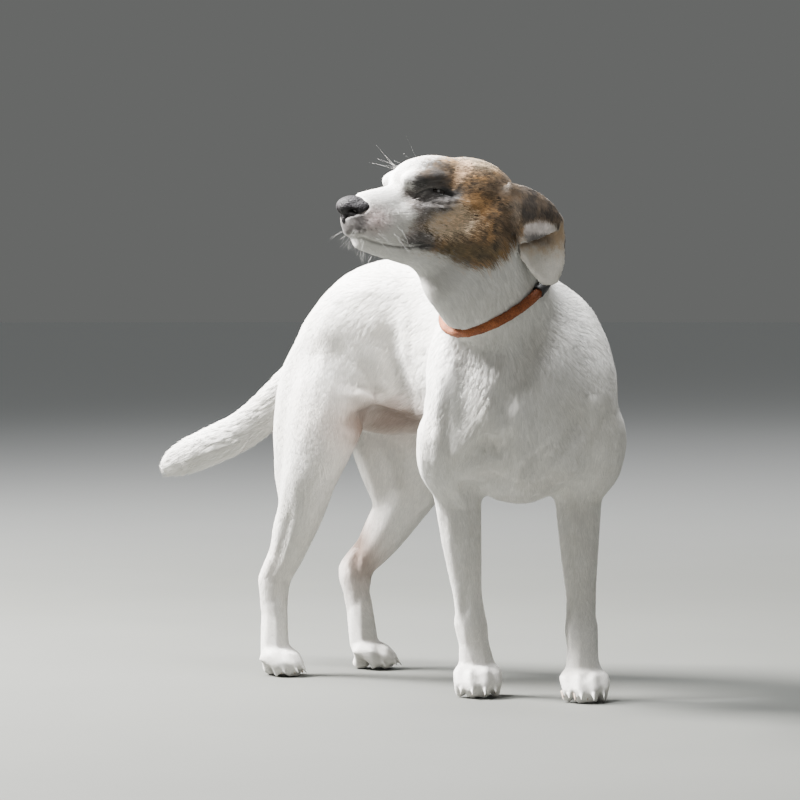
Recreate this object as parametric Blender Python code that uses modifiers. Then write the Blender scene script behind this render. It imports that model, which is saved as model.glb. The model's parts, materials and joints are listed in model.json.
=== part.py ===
"""A standing dog, life size, looking over its right shoulder, with a rolled collar.

Metres, +Z up. +X runs roughly from the rump to the breast, +Y is the dog's left,
and the origin is on the floor, in the middle of the model's box.

The back bends sideways, so the body is laid out in trunk places: a distance along
the back from the buttocks, a distance to the left, and a height above the floor.
The head has a frame of its own: ahead of the nape, to its left, and above its base.
Lofts and muscles overlap, a voxel remesh fuses them, and thin cuts part the body.
"""

import math

import bmesh
import bpy
from mathutils import Matrix, Vector
from mathutils.bvhtree import BVHTree

GAP = 0.0003  # left between neighbouring solids

# The back's heading from +X, which turns between two places along it.
REAR_HEADING = math.radians(24)
FRONT_HEADING = math.radians(-34)
BEND_START = 0.14
BEND_END = 0.52
BACK_STEP = 0.005

HEAD_ORIGIN = Vector((0.232, -0.097, 0.553))
HEAD_YAW = math.radians(-96.5)

BODY_VOXEL = 0.006
FINE_VOXEL = 0.0032
DETAIL_VOXEL = 0.0015
BODY_TRIANGLES = 1880
HEAD_TRIANGLES = 1560
PAW_TRIANGLES = 340
NOSE_TRIANGLES = 160
EAR_TRIANGLES = 300

LEFT_SHOULDER_PUSH = 0.012  # how far the weight on the left fore leg pushes its shoulder out
ANKLE_CUT = 0.095
CLAW_PLACES = ((0.0078, 0.050), (-0.0078, 0.050), (0.0215, 0.036), (-0.0215, 0.036))

EYE_PLACE = (0.1270, 0.0310, 0.0725)  # ahead, out to the side, up
EYE_RADIUS = 0.0105
LID_RADIUS = 0.0128
EAR_THICKNESS = 0.003

COLLAR_MIDDLE = Vector((0.191, -0.101, 0.5015))
COLLAR_NORMAL = Vector((0.048, -0.539, 0.841))
COLLAR_RADIUS = 0.0056
COLLAR_RISE = 0.0020  # the tube's middle above the neck
COLLAR_POINTS = 28
KEEPER_FROM = 14  # of the collar's points, the first inside the keeper
KEEPER_RADIUS = 0.0080
BUCKLE_FROM = 20
BUCKLE_RADIUS = 0.0085

# Where the head parts from the neck, and the way to the head, in head places.
HEAD_CUT = (0.045, 0, 0.030)
HEAD_CUT_WAY = (0.81, 0, 0.584)

NECK_CUT = (0.475, 0, 0.485)  # trunk place in the plane where the neck ends
NECK_CUT_TILT = 39.5  # degrees that the cut leans ahead of level

HIND_PAW_SIZE = 0.92
FORE_PAW_SIZE = 1.0


def smooth_step(t):
    t = min(max(t, 0.0), 1.0)
    return t * t * (3 - 2 * t)


def heading(s):
    """Direction of the back at s, an angle from +X."""
    turned = smooth_step((s - BEND_START) / (BEND_END - BEND_START))
    return REAR_HEADING + (FRONT_HEADING - REAR_HEADING) * turned


def back_point(s, middle=0.30):
    """The back's plan position at s, summed in short steps from the middle of the trunk."""
    steps = max(1, round(abs(s - middle) / BACK_STEP))
    step = (s - middle) / steps
    point = Vector((0, 0, 0))
    for i in range(steps):
        angle = heading(middle + (i + 0.5) * step)
        point += step * Vector((math.cos(angle), math.sin(angle), 0))
    return point


def leftward(s):
    return Vector((-math.sin(heading(s)), math.cos(heading(s)), 0))


def forward(s):
    return Vector((math.cos(heading(s)), math.sin(heading(s)), 0))


def trunk(s, side, z):
    """A trunk place as a point."""
    return back_point(s) + side * leftward(s) + Vector((0, 0, z))


HEAD_FRAME = Matrix.Translation(HEAD_ORIGIN) @ Matrix.Rotation(HEAD_YAW, 4, "Z")


def head(ahead, left, above):
    """A head place as a point."""
    return HEAD_FRAME @ Vector((ahead, left, above))


def head_direction(ahead, left, above):
    return HEAD_FRAME.to_3x3() @ Vector((ahead, left, above))


# ---------------------------------------------------------------- building blocks


def new_object(name, bm):
    mesh = bpy.data.meshes.new(name)
    bm.to_mesh(mesh)
    bm.free()
    obj = bpy.data.objects.new(name, mesh)
    bpy.context.scene.collection.objects.link(obj)
    return obj


def spline(values, steps):
    """A Catmull-Rom curve through the values, with that many steps from one to the next."""
    result = []
    last = len(values) - 1
    for i in range(last):
        p0, p1 = values[max(i - 1, 0)], values[i]
        p2, p3 = values[i + 1], values[min(i + 2, last)]
        for k in range(steps):
            t = k / steps
            result.append(
                0.5
                * (
                    2 * p1
                    + (p2 - p0) * t
                    + (2 * p0 - 5 * p1 + 4 * p2 - p3) * t**2
                    + (3 * p1 - p0 - 3 * p2 + p3) * t**3
                )
            )
    result.append(values[last])
    return result


def loft(name, rings, sides=24, steps=4):
    """A closed tube through rings: centre, across, up, half width, rise, drop and pinch.

    Across and up span the ring. Rise and drop are its reach above and below the
    centre, and a pinch over zero makes it wider above than below.
    """
    columns = [spline(list(column), steps) for column in zip(*rings)]
    bm = bmesh.new()
    loops = []
    for centre, across, up, half_width, rise, drop, pinch in zip(*columns):
        loop = []
        for k in range(sides):
            angle = 2 * math.pi * k / sides
            reach = rise if math.sin(angle) > 0 else drop
            width = half_width * (1 + pinch * math.sin(angle)) * math.cos(angle)
            loop.append(bm.verts.new(centre + width * across + reach * math.sin(angle) * up))
        loops.append(loop)
    for lower, upper in zip(loops, loops[1:]):
        for k in range(sides):
            bm.faces.new((lower[k - 1], lower[k], upper[k], upper[k - 1]))
    bm.faces.new(loops[0])
    bm.faces.new(reversed(loops[-1]))
    bmesh.ops.recalc_face_normals(bm, faces=bm.faces)
    return new_object(name, bm)


def muscle(name, start, end, across, thickness, breadth, overrun=0.0, segments=20):
    """An egg from start to end, of that half thickness along across and half breadth beside it."""
    along = end - start
    half_length = along.length / 2 + overrun
    along.normalize()
    beside = along.cross(across).normalized()
    thin = along.cross(beside)
    turn = Matrix((along, beside, thin)).transposed().to_4x4()
    size = Matrix.Diagonal((half_length, breadth, thickness, 1))
    bm = bmesh.new()
    place = Matrix.Translation((start + end) / 2) @ turn @ size
    bmesh.ops.create_uvsphere(
        bm, u_segments=segments, v_segments=segments // 2, radius=1, matrix=place
    )
    return new_object(name, bm)


def limb(name, joints, across, sides=16, steps=4):
    """A tapering limb: each joint has a point, a half width along across and one fore and aft."""
    points = [joint[0] for joint in joints]
    rings = []
    for i, (point, half_side, half_fore) in enumerate(joints):
        along = points[min(i + 1, len(points) - 1)] - points[max(i - 1, 0)]
        fore = across.cross(along).normalized()
        side = along.cross(fore).normalized()
        rings.append((point, side, fore, half_side, half_fore, half_fore, 0.0))
    return loft(name, rings, sides, steps)


def duplicate(obj, name):
    copy = obj.copy()
    copy.data = obj.data.copy()
    copy.name = name
    bpy.context.scene.collection.objects.link(copy)
    return copy


def remove(*objects):
    for obj in objects:
        bpy.data.objects.remove(obj)


def apply_modifiers(obj):
    """The object's mesh becomes what its modifiers make of it."""
    graph = bpy.context.evaluated_depsgraph_get()
    obj.data = bpy.data.meshes.new_from_object(obj.evaluated_get(graph))
    obj.modifiers.clear()
    return obj


def fuse(name, parts, voxel, relaxing, triangles):
    """One smooth skin round all the parts, thinned to that many triangles."""
    bm = bmesh.new()
    for part in parts:
        bm.from_mesh(part.data)
    body = new_object(name, bm)
    remesh = body.modifiers.new("fuse", "REMESH")
    remesh.mode = "VOXEL"
    remesh.voxel_size = voxel
    relax = body.modifiers.new("relax", "SMOOTH")
    relax.factor = 0.5
    relax.iterations = relaxing
    return thin_out(apply_modifiers(body), triangles)


def thin_out(obj, triangles):
    obj.data.calc_loop_triangles()
    thin = obj.modifiers.new("thin", "DECIMATE")
    thin.ratio = triangles / len(obj.data.loop_triangles)
    return apply_modifiers(obj)


def keep_side(obj, point, normal):
    """Cuts the object by a plane and keeps what lies on the normal's side, closed flat."""
    bm = bmesh.new()
    bm.from_mesh(obj.data)
    geometry = bm.verts[:] + bm.edges[:] + bm.faces[:]
    cut = bmesh.ops.bisect_plane(
        bm, geom=geometry, plane_co=point, plane_no=normal, clear_inner=True
    )
    edges = [item for item in cut["geom_cut"] if isinstance(item, bmesh.types.BMEdge)]
    bmesh.ops.holes_fill(bm, edges=edges, sides=0)
    bmesh.ops.triangulate(bm, faces=bm.faces)
    bmesh.ops.recalc_face_normals(bm, faces=bm.faces)
    bm.to_mesh(obj.data)
    bm.free()
    return obj


def swollen(obj, by):
    """A copy grown along its normals, to cut a seat that leaves a gap."""
    copy = duplicate(obj, obj.name + "_seat")
    grow = copy.modifiers.new("grow", "DISPLACE")
    grow.strength = by
    grow.mid_level = 0
    return apply_modifiers(copy)


def boolean(obj, cutter, operation="DIFFERENCE"):
    change = obj.modifiers.new("boolean", "BOOLEAN")
    change.operation = operation
    change.object = cutter
    return apply_modifiers(obj)


# ---------------------------------------------------------------- the body's forms

# Rings of the trunk: along the back, top, bottom, half width, how much wider above.
TRUNK_RINGS = (
    (0.000, 0.405, 0.365, 0.020, 0.0),
    (0.016, 0.456, 0.345, 0.052, 0.0),
    (0.050, 0.503, 0.330, 0.072, 0.0),
    (0.095, 0.538, 0.322, 0.080, 0.10),
    (0.150, 0.552, 0.314, 0.075, 0.22),
    (0.220, 0.552, 0.312, 0.068, 0.22),
    (0.280, 0.547, 0.294, 0.078, 0.12),
    (0.350, 0.540, 0.268, 0.092, 0.10),
    (0.420, 0.543, 0.247, 0.099, 0.10),
    (0.480, 0.532, 0.240, 0.100, 0.05),
    (0.530, 0.500, 0.254, 0.093, 0.0),
    (0.562, 0.455, 0.290, 0.070, 0.0),
    (0.583, 0.415, 0.330, 0.036, 0.0),
)


def trunk_forms():
    rings = []
    for s, top, bottom, half_width, pinch in TRUNK_RINGS:
        middle = (top + bottom) / 2
        reach = (top - bottom) / 2
        rings.append(
            (trunk(s, 0, middle), leftward(s), Vector((0, 0, 1)), half_width, reach, reach, pinch)
        )
    forms = [loft("trunk_core", rings, 32)]
    for side in (1, -1):
        out = leftward(0.48) * side
        push = LEFT_SHOULDER_PUSH * out if side > 0 else Vector()
        forms += [
            muscle("shoulder", trunk(0.44, 0.055 * side, 0.497), trunk(0.535, 0.084 * side, 0.345) + push,
                   out, 0.043, 0.060, 0.014),
            muscle("upper_arm", trunk(0.532, 0.090 * side, 0.360) + push, trunk(0.465, 0.090 * side, 0.262),
                   out, 0.038, 0.046, 0.014),
            muscle("triceps", trunk(0.43, 0.080 * side, 0.42), trunk(0.440, 0.086 * side, 0.275),
                   out, 0.034, 0.046, 0.014),
            muscle("breast", trunk(0.545, 0.012 * side, 0.392), trunk(0.530, 0.062 * side, 0.285),
                   forward(0.5), 0.038, 0.046, 0.014),
        ]
    forms.append(
        muscle("breastbone", trunk(0.578, 0, 0.385), trunk(0.545, 0, 0.275), forward(0.5),
               0.026, 0.024, 0.01)
    )
    return forms


# The neck: centre, heading of its left side, half width, reach to the nape, reach to the throat.
NECK_RINGS = (
    ((0.150, -0.030, 0.400), 56, 0.084, 0.100, 0.080),
    ((0.170, -0.052, 0.437), 48, 0.079, 0.094, 0.082),
    ((0.186, -0.083, 0.478), 34, 0.066, 0.075, 0.070),
    ((0.202, -0.112, 0.515), 20, 0.063, 0.067, 0.088),
    ((0.220, -0.135, 0.552), 5, 0.058, 0.066, 0.100),
    ((0.228, -0.142, 0.585), -8, 0.052, 0.055, 0.064),
)


def neck_rings():
    centres = [Vector(ring[0]) for ring in NECK_RINGS]
    rings = []
    for i, (_, side_heading, half_width, nape, throat) in enumerate(NECK_RINGS):
        axis = (centres[min(i + 1, len(centres) - 1)] - centres[max(i - 1, 0)]).normalized()
        turned = math.radians(side_heading)
        left = Vector((math.cos(turned), math.sin(turned), 0))
        left = (left - axis * left.dot(axis)).normalized()
        back = left.cross(axis) * -1
        rings.append((centres[i], left, back, half_width, nape, throat, 0.0))
    return rings


def neck_forms():
    return [loft("neck_core", neck_rings(), 28)]


def head_forms():
    """Skull, muzzle, jaws and cheeks, in head places."""
    left, up = head_direction(0, 1, 0), head_direction(0, 0, 1)

    def level(name, rows, sides=24):
        rings = []
        for ahead, top, bottom, half_width, pinch in rows:
            reach = (top - bottom) / 2
            centre = head(ahead, 0, (top + bottom) / 2)
            rings.append((centre, left, up, half_width, reach, reach, pinch))
        return loft(name, rings, sides)

    def egg(name, centre, radii):
        """An egg at a head place, with its radii ahead, to the side and up."""
        ahead, beside, above = radii
        start = head(centre[0] - ahead, centre[1], centre[2])
        end = head(centre[0] + ahead, centre[1], centre[2])
        return muscle(name, start, end, left, beside, above)

    forms = [
        egg("cranium", (0.074, 0, 0.060), (0.072, 0.049, 0.0588)),
        egg("forehead", (0.116, 0, 0.0880), (0.056, 0.037, 0.0320)),
        egg("occiput", (0.040, 0, 0.062), (0.035, 0.038, 0.0430)),
        level(
            "muzzle",
            (
                (0.080, 0.094, 0.006, 0.044, 0.0),
                (0.120, 0.093, 0.006, 0.038, 0.0),
                (0.150, 0.087, 0.009, 0.0315, -0.05),
                (0.180, 0.081, 0.012, 0.0275, -0.08),
                (0.210, 0.0745, 0.016, 0.0250, -0.08),
                (0.228, 0.068, 0.022, 0.0210, -0.05),
                (0.236, 0.060, 0.030, 0.0130, 0.0),
            ),
        ),
        level(
            "lower_jaw",
            (
                (0.000, 0.020, -0.016, 0.030, 0.0),
                (0.070, 0.022, -0.026, 0.037, 0.0),
                (0.120, 0.022, -0.021, 0.030, 0.0),
                (0.160, 0.022, -0.012, 0.0235, 0.0),
                (0.200, 0.026, -0.001, 0.0185, 0.0),
                (0.222, 0.026, 0.006, 0.0130, 0.0),
            ),
        ),
        muscle("throat", head(0.152, 0, 0.008), head(0.045, -0.008, -0.040), left, 0.031, 0.025),
    ]
    for side in (1, -1):
        forms += [
            egg("brow", (0.139, 0.0265 * side, 0.0880), (0.034, 0.0190, 0.0160)),
            egg("mouth_corner", (0.132, 0.0250 * side, 0.022), (0.038, 0.0130, 0.024)),
            egg("cheekbone", (0.100, 0.037 * side, 0.054), (0.052, 0.016, 0.020)),
            egg("face", (0.112, 0.024 * side, 0.046), (0.062, 0.021, 0.036)),
            egg("cheek", (0.066, 0.036 * side, 0.022), (0.050, 0.022, 0.044)),
            egg("flew", (0.186, 0.0180 * side, 0.030), (0.046, 0.0120, 0.021)),
            egg("ear_root", (0.028, 0.043 * side, 0.058), (0.024, 0.014, 0.026)),
        ]
    return forms


def hind_leg_forms(side, hip_s, knee, ankle, heel, foot):
    """Thigh, shank and foot of one hind leg. All but the hip are trunk places."""
    out = leftward(0.05) * side
    hip = trunk(hip_s, 0.045 * side, 0.425)
    knee, ankle, heel, foot = trunk(*knee), trunk(*ankle), trunk(*heel), trunk(*foot)
    ahead = forward(0.05)
    across = out * side
    return [
        limb(
            "hind_leg",
            (
                (hip + Vector((0, 0, 0.050)) - 0.015 * out, 0.012, 0.020),
                (hip, 0.034, 0.056),
                (hip.lerp(knee, 0.5) - 0.008 * ahead, 0.042, 0.056),
                (knee - 0.019 * ahead, 0.034, 0.036),
                (knee.lerp(ankle, 0.35) - 0.008 * ahead, 0.0275, 0.0315),
                (knee.lerp(ankle, 0.72), 0.0206, 0.0255),
                (ankle, 0.0202, 0.0230),
                (ankle.lerp(foot, 0.5), 0.0166, 0.0180),
                (foot, 0.0205, 0.0195),
            ),
            across,
        ),
        muscle("haunch", trunk(hip_s - 0.004, 0.044 * side, 0.455), knee - 0.008 * ahead, out, 0.038,
               0.052, 0.010),
        muscle("ham", trunk(hip_s - 0.068, 0.042 * side, 0.430), knee.lerp(heel, 0.42), out,
               0.033, 0.038, 0.014),
        muscle("calf", knee - 0.016 * ahead, knee.lerp(heel, 0.70), out, 0.023, 0.028, 0.018),
        muscle("heel_tendon", knee.lerp(heel, 0.50), heel, out, 0.0085, 0.0130, 0.010),
        muscle("heel", heel, heel.lerp(foot, 0.25), out, 0.0095, 0.0100, 0.008),
    ]


def fore_leg_forms(side, shoulder, elbow, wrist, foot):
    """Forearm and wrist of one fore leg. All four joints are trunk places."""
    shoulder, elbow, wrist, foot = trunk(*shoulder), trunk(*elbow), trunk(*wrist), trunk(*foot)
    out = leftward(0.48) * side
    across = out * side
    ahead = forward(0.48)
    return [
        limb(
            "fore_leg",
            (
                (shoulder, 0.034, 0.040),
                (elbow + Vector((0, 0, 0.012)), 0.0300, 0.036),
                (elbow.lerp(wrist, 0.28), 0.0260, 0.0308),
                (elbow.lerp(wrist, 0.62), 0.0204, 0.0230),
                (elbow.lerp(wrist, 0.85), 0.0188, 0.0195),
                (wrist, 0.0208, 0.0197),
                (wrist.lerp(foot, 0.5), 0.0192, 0.0177),
                (foot, 0.0225, 0.0195),
            ),
            across,
        ),
        muscle("elbow", elbow + 0.008 * out - 0.012 * ahead, elbow - 0.026 * ahead, out, 0.016, 0.018),
        muscle("wrist_pad", wrist - 0.014 * ahead, wrist - 0.018 * ahead - Vector((0, 0, 0.014)), out,
               0.008, 0.006),
    ]


def paw_forms(foot, aim, size):
    """Toes and pads of a paw. The foot point is above the ball of the foot."""
    ground = Vector((foot.x, foot.y, 0))
    ahead = Vector((math.cos(aim), math.sin(aim), 0))
    left = Vector((-math.sin(aim), math.cos(aim), 0))

    def place(forth, side, z):
        return ground + (forth * ahead + side * left + z * Vector((0, 0, 1))) * size

    forms = [
        muscle("knuckles", place(-0.012, 0, 0.036), place(0.012, 0, 0.026), left, 0.0235 * size,
               0.0135 * size, 0.004),
        muscle("ball_pad", place(-0.014, 0, 0.009), place(0.010, 0, 0.009), left, 0.0200 * size,
               0.0120 * size, 0.002),
    ]
    for side, reach in CLAW_PLACES:
        root = place(reach - 0.044, side * 0.85, 0.027)
        knuckle = place(reach - 0.022, side, 0.0275)
        tip = place(reach - 0.004, side, 0.0125)
        forms.append(
            limb(
                "toe",
                (
                    (root, 0.0095 * size, 0.0110 * size),
                    (knuckle, 0.0098 * size, 0.0105 * size),
                    (knuckle.lerp(tip, 0.62), 0.0092 * size, 0.0098 * size),
                    (tip, 0.0062 * size, 0.0070 * size),
                ),
                left,
            )
        )
        forms.append(
            muscle("toe_pad", place(reach - 0.020, side, 0.0065), place(reach - 0.006, side, 0.0065),
                   left, 0.0085 * size, 0.0085 * size)
        )
    return forms


def claws(foot, aim, size):
    """The four claws of a paw, short cones that curve down to the floor."""
    ground = Vector((foot.x, foot.y, 0))
    ahead = Vector((math.cos(aim), math.sin(aim), 0))
    left = Vector((-math.sin(aim), math.cos(aim), 0))
    made = []
    for side, reach in CLAW_PLACES:
        base = ground + (reach - 0.008) * size * ahead + side * size * left
        root = base + Vector((0, 0, 0.0135 * size))
        bend = base + (0.0080 * ahead + Vector((0, 0, 0.0125))) * size
        tip = base + (0.0155 * ahead + Vector((0, 0, 0.0050))) * size
        made.append(
            limb(
                "claw",
                ((root, 0.0036, 0.0042), (bend, 0.0030, 0.0036), (tip, 0.0010, 0.0010)),
                left,
                sides=6,
                steps=2,
            )
        )
    return made


TAIL_POINTS = (
    # centre, half width, half height
    ((0.034, 0.0, 0.425), 0.030, 0.030),
    ((0.002, 0.0, 0.395), 0.0255, 0.0290),
    ((-0.045, 0.0, 0.354), 0.0220, 0.0265),
    ((-0.095, 0.0, 0.319), 0.0200, 0.0260),
    ((-0.155, 0.0, 0.294), 0.0190, 0.0255),
    ((-0.198, 0.0, 0.278), 0.0165, 0.0235),
    ((-0.224, 0.0, 0.266), 0.0115, 0.0165),
    ((-0.242, 0.0, 0.256), 0.0035, 0.0060),
)


def tail_forms():
    joints = [(trunk(*place), width, height) for place, width, height in TAIL_POINTS]
    return [limb("tail_core", joints, leftward(0.0))]


# Joints of each leg, as trunk places, and where its paw points, from the back's heading.
HIND_LEGS = {
    "right": (-1, 0.098, (0.096, -0.088, 0.262), (0.013, -0.080, 0.124), (0.000, -0.080, 0.126),
              (0.022, -0.090, 0.034), REAR_HEADING + math.radians(-10)),
    "left": (1, 0.125, (0.180, 0.055, 0.262), (0.058, 0.046, 0.130), (0.035, 0.046, 0.134),
             (0.074, 0.042, 0.034), REAR_HEADING + math.radians(14)),
}
FORE_LEGS = {
    "right": (-1, (0.500, -0.080, 0.32), (0.455, -0.076, 0.245), (0.448, -0.058, 0.090),
              (0.452, -0.050, 0.034), FRONT_HEADING + math.radians(2)),
    "left": (1, (0.500, 0.080, 0.32), (0.465, 0.076, 0.245), (0.495, 0.078, 0.086),
             (0.508, 0.080, 0.034), FRONT_HEADING + math.radians(4)),
}


# ---------------------------------------------------------------- head details


def egg_at(name, centre, radii, segments=20):
    """An egg at a head place, with its radii ahead, to the side and up."""
    ahead, beside, above = radii
    start = head(centre[0] - ahead, centre[1], centre[2])
    end = head(centre[0] + ahead, centre[1], centre[2])
    return muscle(name, start, end, head_direction(0, 1, 0), beside, above, segments=segments)


def make_nose():
    """The nose leather, with a nostril on each side."""
    forms = [
        egg_at("pad", (0.2240, 0, 0.0562), (0.0200, 0.0185, 0.0130)),
        egg_at("lip_groove", (0.2315, 0, 0.0440), (0.0070, 0.0070, 0.0115)),
    ]
    for side in (1, -1):
        forms.append(egg_at("wing", (0.2185, 0.0118 * side, 0.0520), (0.0180, 0.0102, 0.0108)))
    nose = fuse("nose", forms, DETAIL_VOXEL, 4, NOSE_TRIANGLES)
    remove(*forms)
    for side in (1, -1):
        nostril = egg_at("nostril", (0.2405, 0.0095 * side, 0.0540), (0.0110, 0.0042, 0.0040), 10)
        boolean(nose, nostril)
        remove(nostril)
    return nose


def make_eye(name, side):
    ahead, out, above = EYE_PLACE
    centre = head(ahead, out * side, above)
    bm = bmesh.new()
    place = Matrix.Translation(centre)
    bmesh.ops.create_icosphere(bm, subdivisions=2, radius=EYE_RADIUS, matrix=place)
    return new_object(name, bm)


def eye_slit(side):
    """The narrow opening between two nearly closed lids."""
    ahead, out, above = EYE_PLACE
    return egg_at("slit", (ahead, (out + EYE_RADIUS) * side, above), (0.0125, 0.0075, 0.0024), 12)


def sheet(name, rows, thickness):
    """A curved leaf through rows of points, solid to that thickness."""
    smooth_rows = [spline([Vector(point) for point in row], 2) for row in rows]
    columns = [spline(list(column), 2) for column in zip(*smooth_rows)]
    bm = bmesh.new()
    grid = [[bm.verts.new(point) for point in column] for column in columns]
    for left, right in zip(grid, grid[1:]):
        for k in range(len(left) - 1):
            bm.faces.new((left[k], left[k + 1], right[k + 1], right[k]))
    leaf = new_object(name, bm)
    solid = leaf.modifiers.new("solid", "SOLIDIFY")
    solid.thickness = thickness
    solid.offset = 0
    return apply_modifiers(leaf)


# The folded left ear in head places. Each row crosses the ear, from the rim of the fold
# over its crest to the edge of the hanging leaf, and the rows run from the head outward.
FOLDED_EAR = (
    ((0.030, 0.0570, 0.010), (0.037, 0.0560, 0.036), (0.040, 0.0530, 0.066), (0.037, 0.0430, 0.088),
     (0.030, 0.0440, 0.060), (0.026, 0.0500, 0.020), (0.026, 0.0540, -0.006)),
    ((0.013, 0.0650, 0.0145), (0.018, 0.0640, 0.031), (0.013, 0.0610, 0.057), (0.012, 0.0500, 0.081),
     (0.009, 0.0490, 0.052), (0.010, 0.0530, 0.004), (0.019, 0.0560, -0.015)),
    ((-0.001, 0.0640, 0.0190), (0.000, 0.0640, 0.034), (-0.004, 0.0600, 0.056), (-0.007, 0.0510, 0.072),
     (-0.008, 0.0500, 0.042), (-0.002, 0.0560, -0.006), (0.009, 0.0600, -0.030)),
    ((-0.014, 0.0600, 0.024), (-0.016, 0.0600, 0.036), (-0.020, 0.0570, 0.050), (-0.024, 0.0510, 0.058),
     (-0.023, 0.0510, 0.032), (-0.018, 0.0580, -0.010), (-0.005, 0.0630, -0.041)),
    ((-0.027, 0.0560, 0.028), (-0.029, 0.0560, 0.033), (-0.033, 0.0540, 0.039), (-0.038, 0.0510, 0.039),
     (-0.039, 0.0520, 0.014), (-0.035, 0.0570, -0.014), (-0.024, 0.0620, -0.036)),
)

# The right ear hangs. Each row crosses it from its front edge to its back edge, and the
# rows run from the head down to the tip.
HANGING_EAR = (
    ((0.052, -0.0440, 0.070), (0.040, -0.0500, 0.084), (0.020, -0.0480, 0.086), (0.004, -0.0400, 0.076)),
    ((0.060, -0.0560, 0.056), (0.045, -0.0620, 0.066), (0.020, -0.0630, 0.068), (-0.006, -0.0560, 0.060)),
    ((0.060, -0.0640, 0.032), (0.045, -0.0700, 0.036), (0.018, -0.0730, 0.036), (-0.010, -0.0680, 0.034)),
    ((0.054, -0.0680, 0.006), (0.041, -0.0740, 0.006), (0.018, -0.0770, 0.006), (-0.004, -0.0740, 0.008)),
    ((0.042, -0.0700, -0.016), (0.034, -0.0740, -0.020), (0.022, -0.0760, -0.020), (0.010, -0.0750, -0.014)),
)


def make_ear(name, rows):
    leaf = sheet(name, [[head(*point) for point in row] for row in rows], EAR_THICKNESS)
    return thin_out(leaf, EAR_TRIANGLES)


# ---------------------------------------------------------------- the collar


def collar_course(neck):
    """Points round the neck in the collar's plane, each just above the neck's surface."""
    bm = bmesh.new()
    bm.from_mesh(neck.data)
    tree = BVHTree.FromBMesh(bm)
    bm.free()
    across = COLLAR_NORMAL.cross(Vector((0, 0, 1))).normalized()
    beside = COLLAR_NORMAL.cross(across).normalized()
    reaches = []
    directions = []
    for k in range(COLLAR_POINTS):
        angle = 2 * math.pi * (k + 0.5) / COLLAR_POINTS
        direction = math.cos(angle) * across + math.sin(angle) * beside
        directions.append(direction)
        reaches.append(tree.ray_cast(COLLAR_MIDDLE, direction)[3] + COLLAR_RISE)
    for _ in range(6):
        reaches = [
            (reaches[k - 1] + 2 * reaches[k] + reaches[(k + 1) % COLLAR_POINTS]) / 4
            for k in range(COLLAR_POINTS)
        ]
    return [COLLAR_MIDDLE + reach * way for reach, way in zip(reaches, directions)]


def tube(name, points, radius, sides=8, closed=True):
    """A round tube along points in the collar's plane."""
    normal = COLLAR_NORMAL.normalized()
    count = len(points)
    bm = bmesh.new()
    loops = []
    for k in range(count):
        after = points[(k + 1) % count] if closed else points[min(k + 1, count - 1)]
        before = points[k - 1] if closed else points[max(k - 1, 0)]
        outward = (after - before).cross(normal).normalized()
        loop = []
        for side in range(sides):
            angle = 2 * math.pi * side / sides
            arm = math.cos(angle) * outward + math.sin(angle) * normal
            loop.append(bm.verts.new(points[k] + radius * arm))
        loops.append(loop)
    pairs = zip(loops, loops[1:] + loops[:1]) if closed else zip(loops, loops[1:])
    for lower, upper in pairs:
        for side in range(sides):
            bm.faces.new((lower[side - 1], lower[side], upper[side], upper[side - 1]))
    if not closed:
        bm.faces.new(loops[0])
        bm.faces.new(reversed(loops[-1]))
    bmesh.ops.recalc_face_normals(bm, faces=bm.faces)
    return new_object(name, bm)


def sleeve(name, points, radius, collar_seat):
    """A short tube round the collar, which the collar passes through."""
    piece = tube(name, points, radius, 12, closed=False)
    return boolean(piece, collar_seat)


# ---------------------------------------------------------------- parting the body


def part_off(body, region, name):
    """Moves what lies inside the region from the body to a new object of that name."""
    piece = duplicate(body, name)
    boolean(piece, region, "INTERSECT")
    seat = swollen(region, GAP)
    boolean(body, seat)
    remove(region, seat)
    return piece


def tail_region():
    return muscle("region", trunk(-0.250, 0, 0.252), trunk(0.006, 0, 0.394), leftward(0), 0.050, 0.062)


def hind_region(side, foot):
    """Room round one hind leg, from over the hip to the ankle, clear of the groin's middle."""
    top = trunk(0.100, 0.085 * side, 0.490)
    bottom = trunk(foot[0] + 0.010, foot[1] + 0.004 * side, 0.050)
    return muscle("region", top, bottom, leftward(0.05), 0.072, 0.110)


def fore_region(side, foot):
    """Room round one fore leg, from the shoulder to the ankle, clear of the breastbone."""
    top = trunk(0.462, 0.118 * side, 0.460)
    bottom = trunk(foot[0], foot[1] + 0.010 * side, 0.060)
    return muscle("region", top, bottom, leftward(0.48), 0.070, 0.088)


def largest_piece(obj):
    """Drops loose crumbs that a cut left."""
    bm = bmesh.new()
    bm.from_mesh(obj.data)
    unseen = set(bm.faces)
    groups = []
    while unseen:
        group = []
        front = [unseen.pop()]
        while front:
            face = front.pop()
            group.append(face)
            for edge in face.edges:
                for neighbour in edge.link_faces:
                    if neighbour in unseen:
                        unseen.remove(neighbour)
                        front.append(neighbour)
        groups.append(group)
    groups.sort(key=len, reverse=True)
    for group in groups[1:]:
        bmesh.ops.delete(bm, geom=group, context="FACES")
    bm.to_mesh(obj.data)
    bm.free()
    return obj


# ---------------------------------------------------------------- the whole dog

MATERIALS = {
    # name: colour, roughness, metallic
    "coat": ((0.86, 0.84, 0.80), 0.75, 0.0),
    "nose_leather": ((0.045, 0.042, 0.048), 0.45, 0.0),
    "eye": ((0.030, 0.018, 0.012), 0.08, 0.0),
    "collar_leather": ((0.42, 0.12, 0.055), 0.60, 0.0),
    "keeper_leather": ((0.020, 0.020, 0.022), 0.55, 0.0),
    "steel": ((0.62, 0.62, 0.60), 0.30, 1.0),
}


def make_material(name):
    colour, roughness, metallic = MATERIALS[name]
    material = bpy.data.materials.new(name)
    material.use_nodes = True
    shader = material.node_tree.nodes["Principled BSDF"]
    shader.inputs["Base Color"].default_value = (*colour, 1)
    shader.inputs["Roughness"].default_value = roughness
    shader.inputs["Metallic"].default_value = metallic
    return material


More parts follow.
